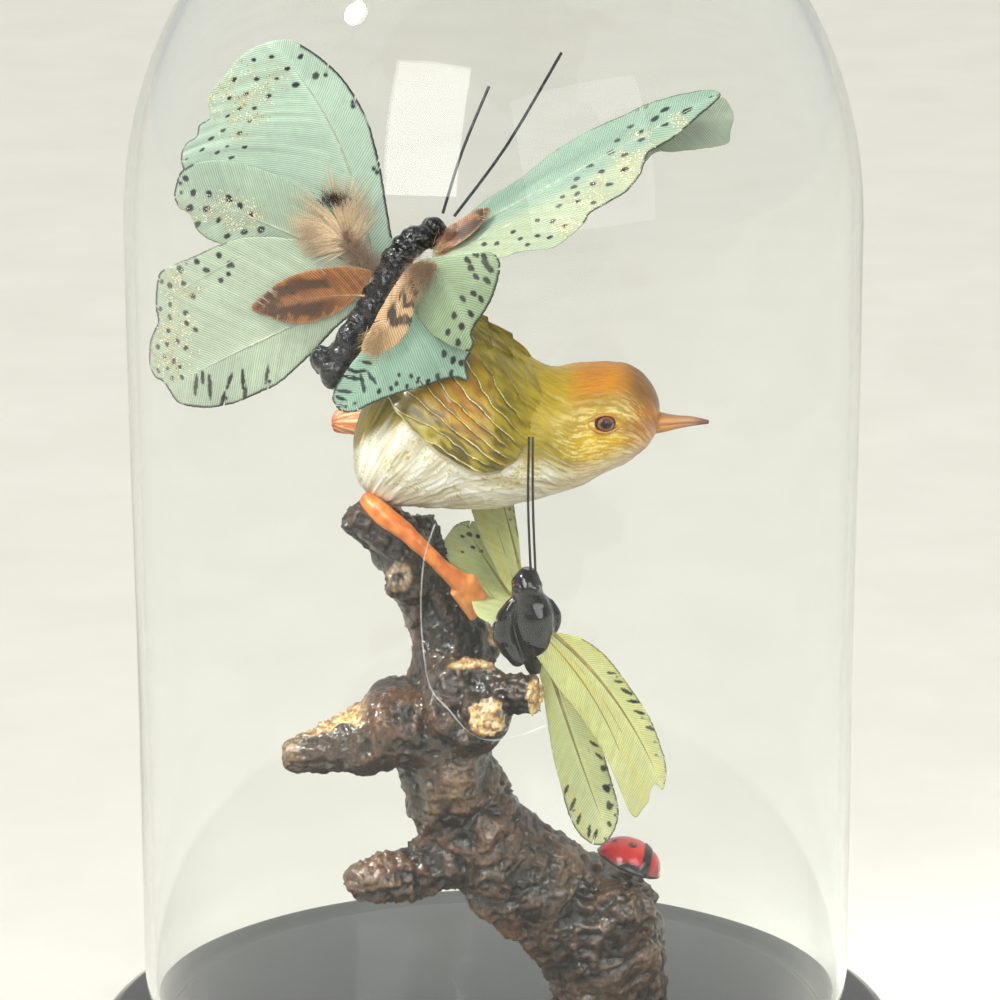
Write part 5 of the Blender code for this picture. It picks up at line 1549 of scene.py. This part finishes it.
def build_accent_feathers():
    """The small natural feathers over the wing roots of the large butterfly."""
    brown = feather_vane("brown_vane", depth=0.40, glow_share=0.12)

    def leaf_marks(tone, a, b, t, gap):
        streak = noise_at(stack((a - 0.8 * np.abs(b)) * 0.75, b * 0.10, 0.0), 1.0)
        broad = noise_at(stack(a * 0.12, b * 0.3, 1.0), 1.0)
        rim = 5.6 * np.sin(np.clip(t, 0, 1) * math.pi) ** 0.7
        share = np.abs(b - 0.6) / np.maximum(rim, 0.5) + 0.16 * streak + 0.22 * broad
        dark = smoothstep(0.10, 0.34, share) * smoothstep(1.02, 0.70, share)
        dark = dark * smoothstep(0.20, 0.42, t + 0.10 * streak)
        end_band = smoothstep(0.72, 0.82, t + 0.06 * streak) * smoothstep(0.98, 0.9, t + 0.05 * streak)
        dark = np.maximum(dark, end_band)
        tone = mix(tone, (0.44, 0.17, 0.038), smoothstep(-0.25, 0.35, streak) * 0.6)
        tone = mix(tone, (0.030, 0.012, 0.006), dark * (0.80 + 0.2 * streak))
        return mix(tone, (0.66, 0.36, 0.15), smoothstep(0.7, 0.0, gap) * 0.45)

    def spotted_marks(tone, a, b, t, gap):
        streak = noise_at(stack(a * 0.25 + b * 0.2, b * 1.8 - a, 0.0), 0.8)
        tone = mix(tone, (0.20, 0.11, 0.05), smoothstep(0.42, 0.22, t + 0.12 * streak) * 0.85)
        for middle, wide in ((0.68, 0.07), (0.50, 0.05), (0.36, 0.05)):
            bar = smoothstep(wide, wide * 0.5, np.abs(t - middle + 0.028 * np.abs(b - 1.6) + 0.05 * streak))
            tone = mix(tone, (0.022, 0.014, 0.011), bar * smoothstep(-1.6, -0.6, b) * 0.95)
        return mix(tone, (0.34, 0.18, 0.07), smoothstep(0.1, 0.5, streak) * 0.5)

    build_feather(
        "accent_leaf_feather", brown, "brown_feather", root=(-28.6, -15.0, 203.6),
        bow=(-42.0, -15.0, 204.8), tip=(-54.4, -14.6, 199.4),
        side=(0.0, 0.0, 1.0),
        outline=[
            (-0.3, 4.9), (3.1, -0.9), (8.0, -4.2), (14.1, -5.5), (19.6, -4.4), (23.7, -1.7), (26.1, 0.6),
            (26.2, 2.2), (23.6, 3.4), (19.1, 5.2), (14.6, 6.2), (10.4, 6.5), (5.3, 6.8), (1.2, 6.3),
        ],
        colour=(0.25, 0.082, 0.018), spacing=0.17, seed=23, finish=leaf_marks, quill=(0.62, 0.32, 0.13),
        quill_size=0.26, slits=14)
    build_feather(
        "accent_dark_feather", brown, "brown_feather", root=(-13.6, -13.2, 214.6), bow=(-7.0, -13.8, 220.8),
        tip=(-1.2, -10.4, 223.2),
        side=(-0.1, 0.6, 0.6),
        outline=[
            (-0.3, 2.8), (-0.4, 0.4), (2.1, -3.2), (4.8, -4.0), (7.4, -4.0), (10.7, -3.2), (14.0, -1.7),
            (15.4, -0.3), (13.0, 0.9), (9.2, 1.1), (5.2, 1.6), (2.1, 2.1),
        ],
        colour=(0.15, 0.052, 0.018), spacing=0.22, seed=29, finish=leaf_marks, quill=(0.30, 0.12, 0.05),
        quill_size=0.16, slits=12)
    build_feather(
        "accent_spotted_feather", brown, "cream_feather", root=(-14.0, -19.6, 211.6),
        bow=(-21.0, -23.4, 207.2), tip=(-28.8, -24.2, 192.0),
        side=(1.0, 0.0, -0.4),
        outline=[
            (-0.8, -0.7), (4.1, -3.3), (10.6, -3.0), (16.7, -2.5), (21.0, -2.2), (23.9, -2.1), (25.0, -0.4),
            (23.6, 2.3), (21.2, 4.5), (17.2, 5.3), (13.7, 4.4), (10.1, 2.4), (4.5, 1.4), (-0.8, 1.0),
        ],
        colour=(0.66, 0.42, 0.21), spacing=0.22, seed=31, finish=spotted_marks, quill=(0.50, 0.30, 0.15),
        quill_size=0.2, slits=14)


def build_tufts():
    """The fan feather and the down at the feather roots, made of separate barbs."""
    rng = np.random.default_rng(41)
    hairs = []
    out = vec((0.0, -1.0, 0.0))
    stem = [vec((-27.8, -13.6, 207.6)), vec((-31.8, -14.0, 213.0)), vec((-35.2, -13.6, 220.6))]
    spot = vec((-36.0, 0.0, 225.6))

    # The barbs stand out from the stem's end as a round fan, longest up and to the left.
    rays = np.sort(rng.uniform(-48.0, 120.0, 74))
    for _ in range(900):
        t = rng.uniform(0.55, 1.0)
        start = bowed(*stem, t)
        lean = math.radians(rays[rng.integers(0, len(rays))] + rng.normal() * 0.7)
        share = abs(lean - math.radians(38)) / math.radians(82)
        reach = (14.6 - 3.6 * share**2) * rng.uniform(0.70, 1.03) * (0.80 + 0.20 * t)
        way = vec((-math.sin(lean), 0.0, math.cos(lean)))
        end = start + way * reach + out * rng.uniform(-0.6, 0.9)
        middle = (start + end) / 2 + vec((0, 0, 1)) * rng.uniform(0.0, 0.9) + out * rng.uniform(0.0, 0.7)
        cream = vec((0.90, 0.70, 0.46)) * rng.uniform(0.8, 1.15)
        tips = mix(cream, vec((0.30, 0.19, 0.12)), np.array(rng.uniform(0.1, 1.0)))
        hairs.append((start, middle, end, rng.uniform(0.05, 0.085), cream, tips))
    for _ in range(300):
        place = spot + vec((rng.normal() * 1.7, -14.2 + rng.uniform(-0.4, 0.3), rng.normal() * 0.75))
        way = vec((-0.55, 0.0, 0.8)) + vec((rng.uniform(-0.5, 0.5), 0.0, rng.uniform(-0.3, 0.3)))
        end = place + unit(way) * rng.uniform(1.0, 2.2)
        dark, brown = vec((0.03, 0.018, 0.012)), vec((0.06, 0.035, 0.02))
        hairs.append((place, (place + end) / 2, end, 0.06, dark, brown))
    for _ in range(1500):
        t = rng.uniform(0.02, 0.80)
        start = bowed(*stem, t) + vec(rng.normal(0, 0.6, 3)) * (1.0, 0.4, 1.0)
        way = unit(vec((rng.uniform(-1.0, 1.0), rng.uniform(-0.5, 0.1), rng.uniform(-0.4, 1.2))))
        end = start + way * rng.uniform(2.0, 5.6)
        middle = (start + end) / 2 + vec(rng.uniform(-1.0, 1.0, 3)) * 0.9
        tone = vec((0.36, 0.24, 0.16)) * rng.uniform(0.45, 1.35)
        hairs.append((start, middle, end, rng.uniform(0.028, 0.05), tone, tone * 1.1))
    hairs.append((*stem, 0.16, vec((0.85, 0.80, 0.65)), vec((0.7, 0.5, 0.3))))
    piece(strands("fan_barbs", hairs), barb_material, BASE, "cream_feather", "accent_fan_feather")
    hairs = []
    for centre, spread, count, way, tone in (
        ((-15.4, -20.6, 210.8), 3.2, 380, (-0.7, 0.0, -0.4), (0.30, 0.18, 0.10)),
        ((-18.8, -21.4, 206.8), 3.0, 340, (-0.5, 0.0, -0.8), (0.40, 0.23, 0.11)),
        ((-26.0, -23.6, 196.4), 3.0, 420, (-0.5, 0.0, -0.9), (0.66, 0.44, 0.23)),
        ((-10.6, -14.2, 216.8), 1.8, 200, (0.8, 0.1, 0.6), (0.26, 0.13, 0.07)),
        ((-12.4, -15.4, 213.6), 2.2, 220, (0.9, 0.0, 0.1), (0.52, 0.30, 0.15)),
    ):
        for _ in range(count):
            scatter = vec((rng.normal() * 0.6, rng.uniform(-0.4, 0.1), rng.normal() * 0.7))
            start = vec(centre) + scatter * spread * 0.6
            sway = vec((rng.uniform(-0.8, 0.8), rng.uniform(-0.3, 0.0), rng.uniform(-0.7, 0.7)))
            end = start + unit(vec(way) + sway) * spread * rng.uniform(0.7, 1.7)
            middle = (start + end) / 2 + vec(rng.uniform(-0.6, 0.6, 3))
            shade = vec(tone) * rng.uniform(0.45, 1.3)
            hairs.append((start, middle, end, rng.uniform(0.03, 0.055), shade, shade * 0.7))
    piece(strands("root_down", hairs), barb_material, BASE, "cream_feather")


def build_yellow_feathers():
    vane = feather_vane("yellow_vane", depth=0.72)
    common = dict(material=vane, slot="yellow_feather", quill=(0.50, 0.42, 0.16))

    def veined(tone, a, b, t, gap):
        streak = noise_at(stack(a * 0.05, b * 0.55, 3.0), 1.0)
        tone = mix(tone, tone * (1.10, 0.96, 0.62), smoothstep(0.10, 0.45, streak) * 0.55)
        return mix(tone, tone * (1.12, 1.10, 1.35), smoothstep(0.55, 0.95, t) * 0.5)

    build_feather(
        "yellow_right_fore_feather", root=(12.6, -19.6, 125.0), bow=(30.0, -21.0, 111.0),
        tip=(39.6, -21.0, 85.2), side=(1.0, 0.0, 0.7),
        outline=[
            (0.4, -6.1), (6.1, -7.6), (13.4, -8.8), (22.2, -8.9), (30.8, -8.9), (36.4, -9.1), (41.3, -9.3),
            (45.7, -9.4), (49.4, -9.2), (50.7, -8.0), (49.5, -6.0), (48.3, -4.2), (46.3, -2.9),
            (45.3, -1.2), (47.1, -0.2), (44.5, 1.9), (41.4, 3.1), (37.8, 3.7), (32.7, 4.5), (27.2, 4.6),
            (21.7, 4.6), (16.3, 4.8), (12.3, 4.6), (8.9, 4.0), (5.7, 3.0), (1.5, 0.4), (-1.4, -2.5),
        ],
        dashes=[
            (18.0, 3.2, 1.1), (20.6, 3.3, 1.3), (23.6, 3.4, 1.5), (26.4, 3.4, 1.4), (29.2, 3.2, 1.3),
            (33.4, 3.3, 1.1),
        ],
        colour=(0.70, 0.72, 0.32), inked=[(14.5, 23.5, 0.75, 0.24)],
        more_quills=[([(2.0, -2.0), (44.0, -6.4)], 0.24), ([(1.5, -1.0), (40.0, -3.4)], 0.16)],
        seed=37, finish=veined, slits=26, slant=1.2, **common)
    build_feather(
        "yellow_right_hind_feather", root=(10.6, -17.0, 122.0), bow=(17.0, -17.6, 100.0),
        tip=(26.6, -17.6, 73.0), side=(1.0, 0.0, 0.2),
        outline=[
            (3.9, -2.1), (11.9, -2.9), (18.8, -4.0), (25.7, -5.2), (31.7, -6.0), (36.9, -6.4), (40.9, -6.8),
            (45.5, -6.8), (49.0, -5.9), (51.5, -4.1), (52.3, -1.5), (50.6, 1.5), (48.0, 3.7), (45.0, 4.8),
            (41.2, 5.2), (36.3, 5.5), (29.8, 5.7), (21.7, 4.9), (12.4, 2.8), (5.7, 0.8),
        ],
        dots=[(35.7, 4.5, 1.2), (40.4, 3.6, 1.7), (44.5, 2.8, 1.5), (48.4, 1.3, 1)],
        dashes=[
            (37.8, -5.4, 1.4), (41.4, -5.1, 1.6), (45.1, -5.0, 1.4), (48.6, -3.8, 1.6), (49.7, -2.6, 1.3),
            (29.6, 4.3, 1.2), (32.7, 4.5, 1.2),
        ],
        dot_lean=0.3, colour=(0.68, 0.72, 0.36), inked=[(5.5, 15.5, 0.85, 0.28)],
        more_quills=[([(3.0, 0.6), (44.0, 1.5)], 0.2), ([(4.0, 1.0), (36.0, 3.0)], 0.14)],
        seed=43, finish=veined, slits=12, slant=1.2, **common)
    build_feather(
        "yellow_left_fore_feather", root=(7.4, -12.6, 130.4), bow=(5.0, 4.0, 138.0), tip=(0.4, 23.4, 149.6),
        side=(-1.0, -0.1, 0.0),
        outline=[
            (-0.5, 0.7), (13.8, -0.6), (21.4, -1.5), (28.0, -2.0), (35.9, -2.7), (41.2, -2.2), (43.0, 1.6),
            (40.5, 5.8), (35.2, 7.7), (29.3, 7.7), (23.6, 7.3), (15.3, 6.0), (5.8, 4.3),
        ],
        colour=(0.62, 0.64, 0.28), inked=[(2.2, 5.0, 0.8, 0.26)],
        more_quills=[([(8.0, 2.2), (38.0, 3.4)], 0.2)], seed=47, finish=veined,
        slant=1.2, **common)
    build_feather(
        "yellow_left_hind_feather", root=(5.6, -13.4, 128.4), bow=(0.6, 2.0, 131.0),
        tip=(-7.4, 17.8, 139.8), side=(-1.0, -0.4, 0.0),
        outline=[
            (4.3, -0.6), (14.7, -2.6), (23.7, -2.9), (31.0, -3.1), (36.1, -3.0), (36.4, 1.1), (33.8, 5.0),
            (30.2, 8.0), (24.7, 9.0), (19.4, 7.6), (11.4, 8.5), (3.8, 10.2), (-2.7, 10.6), (-6.5, 9.2),
            (-4.9, 5.8), (-0.8, 2.4),
        ],
        dots=[
            (32.1, 2.1, 1), (32.4, 0.1, 1.3), (31.3, -1.7, 1.2), (28.0, 1.2, 1), (26.2, -0.1, 1),
            (26.8, 4.5, 0.8),
        ],
        dot_lean=0.1, colour=(0.64, 0.70, 0.34), inked=[(3.6, 5.4, 0.8, 0.26)],
        more_quills=[([(2.0, 4.0), (28.0, 4.6)], 0.14)], seed=53,
        finish=veined, slant=1.0, **common)


# ---------------------------------------------------------------- butterfly bodies


def build_bodies():
    spine = [
        (-12.2, -10.4, 218.5, 2.3), (-17.1, -11.8, 216.2, 3.2), (-22.0, -13.0, 212.1, 3.2),
        (-25.0, -14.0, 206.6, 2.9), (-28.3, -14.5, 200.4, 3.2), (-32.3, -15.2, 194.2, 3.4),
        (-35.9, -15.9, 187.8, 3.7), (-36.8, -16.2, 184.2, 2.9),
    ]
    parts = [limb_points(spine, 60, 24, start=0.7, end=0.7)]
    rng = np.random.default_rng(61)
    for t in np.linspace(0.03, 0.97, 26):
        place = curve_values(vec(spine), np.array([t]))[0]
        turn = rng.uniform(0, 2 * math.pi)
        aside = unit(vec((0.78, -0.1, -0.62))) * math.cos(turn) + vec((0.1, -1.0, 0.0)) * math.sin(turn)
        spot = place[:3] + aside * place[3] * rng.uniform(0.30, 0.60)
        size = rng.uniform(1.9, 2.7)
        half = vec((0, 0, 0.3))
        parts.append(blob([(*(spot - half), size), (*(spot + half), size)], 4, 14))
    knob = [(-39.6, -15.6, 191.0, 1.6), (-40.2, -15.0, 188.4, 2.2), (-39.8, -14.6, 186.0, 1.5)]
    parts.append(blob(knob, 12, 16, 0.8))
    item = fused("lumpy_body", parts, 0.34, 3)
    points = points_of(item)
    normals = normals_of(item)
    along = (points - vec(spine[0][:3])) @ unit(vec(spine[-1][:3]) - vec(spine[0][:3]))
    rings = np.cos(along * 2 * math.pi / 4.1 + 1.2 * noise_at(points, 0.2, 1.0))
    lumps = turbulence(points, 0.35, 3, 2.0)
    set_points(item, points + normals * (0.20 * rings + 0.35 * lumps)[:, None])
    piece(item, gritty_black(), BASE, "black_gloss_paint", "green_butterfly_body")

    spine = [
        (8.0, -18.2, 139.6, 1.6), (7.4, -18.4, 136.4, 3.5), (7.8, -18.4, 132.8, 3.8),
        (9.0, -17.8, 128.2, 5.2), (9.2, -17.4, 122.6, 4.4), (8.6, -16.8, 118.4, 2.9),
        (9.2, -16.4, 114.4, 1.8),
    ]
    parts = [limb_points(spine, 60, 32, end=0.7)]
    left = [
        (5.0, -19.6, 132.6, 1.2), (2.6, -19.4, 128.4, 2.1), (2.3, -18.8, 122.8, 2.6),
        (5.2, -17.8, 117.4, 1.9),
    ]
    right = [(12.6, -17.6, 131.0, 1.2), (13.6, -17.6, 127.2, 1.9), (12.6, -17.2, 122.8, 1.4)]
    parts.append(blob(left, 30, 24))
    parts.append(blob(right, 20, 20))
    for eye in (-2.2, 2.6):
        parts.append(blob([(7.0 + eye, -20.6, 135.6, 0.9), (7.0 + eye, -21.4, 135.6, 0.9)], 4, 14))
    item = fused("moulded_body", parts, 0.28, 3)
    points = points_of(item)
    set_points(item, points + normals_of(item) * (0.25 * turbulence(points, 0.3, 2, 5.0))[:, None])
    gloss = plain("black_gloss", (0.006, 0.006, 0.007), 0.14, grain=0.3, scale=0.4, bump=0.10, coat=1.0)
    piece(item, gloss, BASE, "black_gloss_paint", "yellow_butterfly_body")

    for number in (1, 2):
        keep(f"green_antenna_{number}", wire_black)
        keep(f"yellow_antenna_{number}", wire_black)
    keep("green_butterfly_wire", steel_material)
    keep("yellow_butterfly_wire", steel_material)
    keep("nylon_thread", nylon_material)


felt_material = felt()
steel_material = plain("zinc_steel", (0.55, 0.55, 0.56), 0.32, metallic=1.0, grain=0.2, bump=0.03)
wire_black = plain("black_filament", (0.012, 0.012, 0.014), 0.35, grain=0.4, scale=3.0, bump=0.05, coat=0.3)
nylon_material = nylon()
quill_material = painted("feather_quill", 0.4, coat=0.2, grain=0.15, bump=0.03)
barb_material = painted("loose_barbs", 0.6, coat=0.0, grain=0.2, bump=0.02)

build_stage()
build_base()
build_glass()
build_branch()
build_ladybird()
build_bird()
build_beak()
build_eyes()
build_wing("left", 1)
build_wing("right", -1)
build_bird_limbs()
build_green_feathers()
build_accent_feathers()
build_tufts()
build_yellow_feathers()
build_bodies()
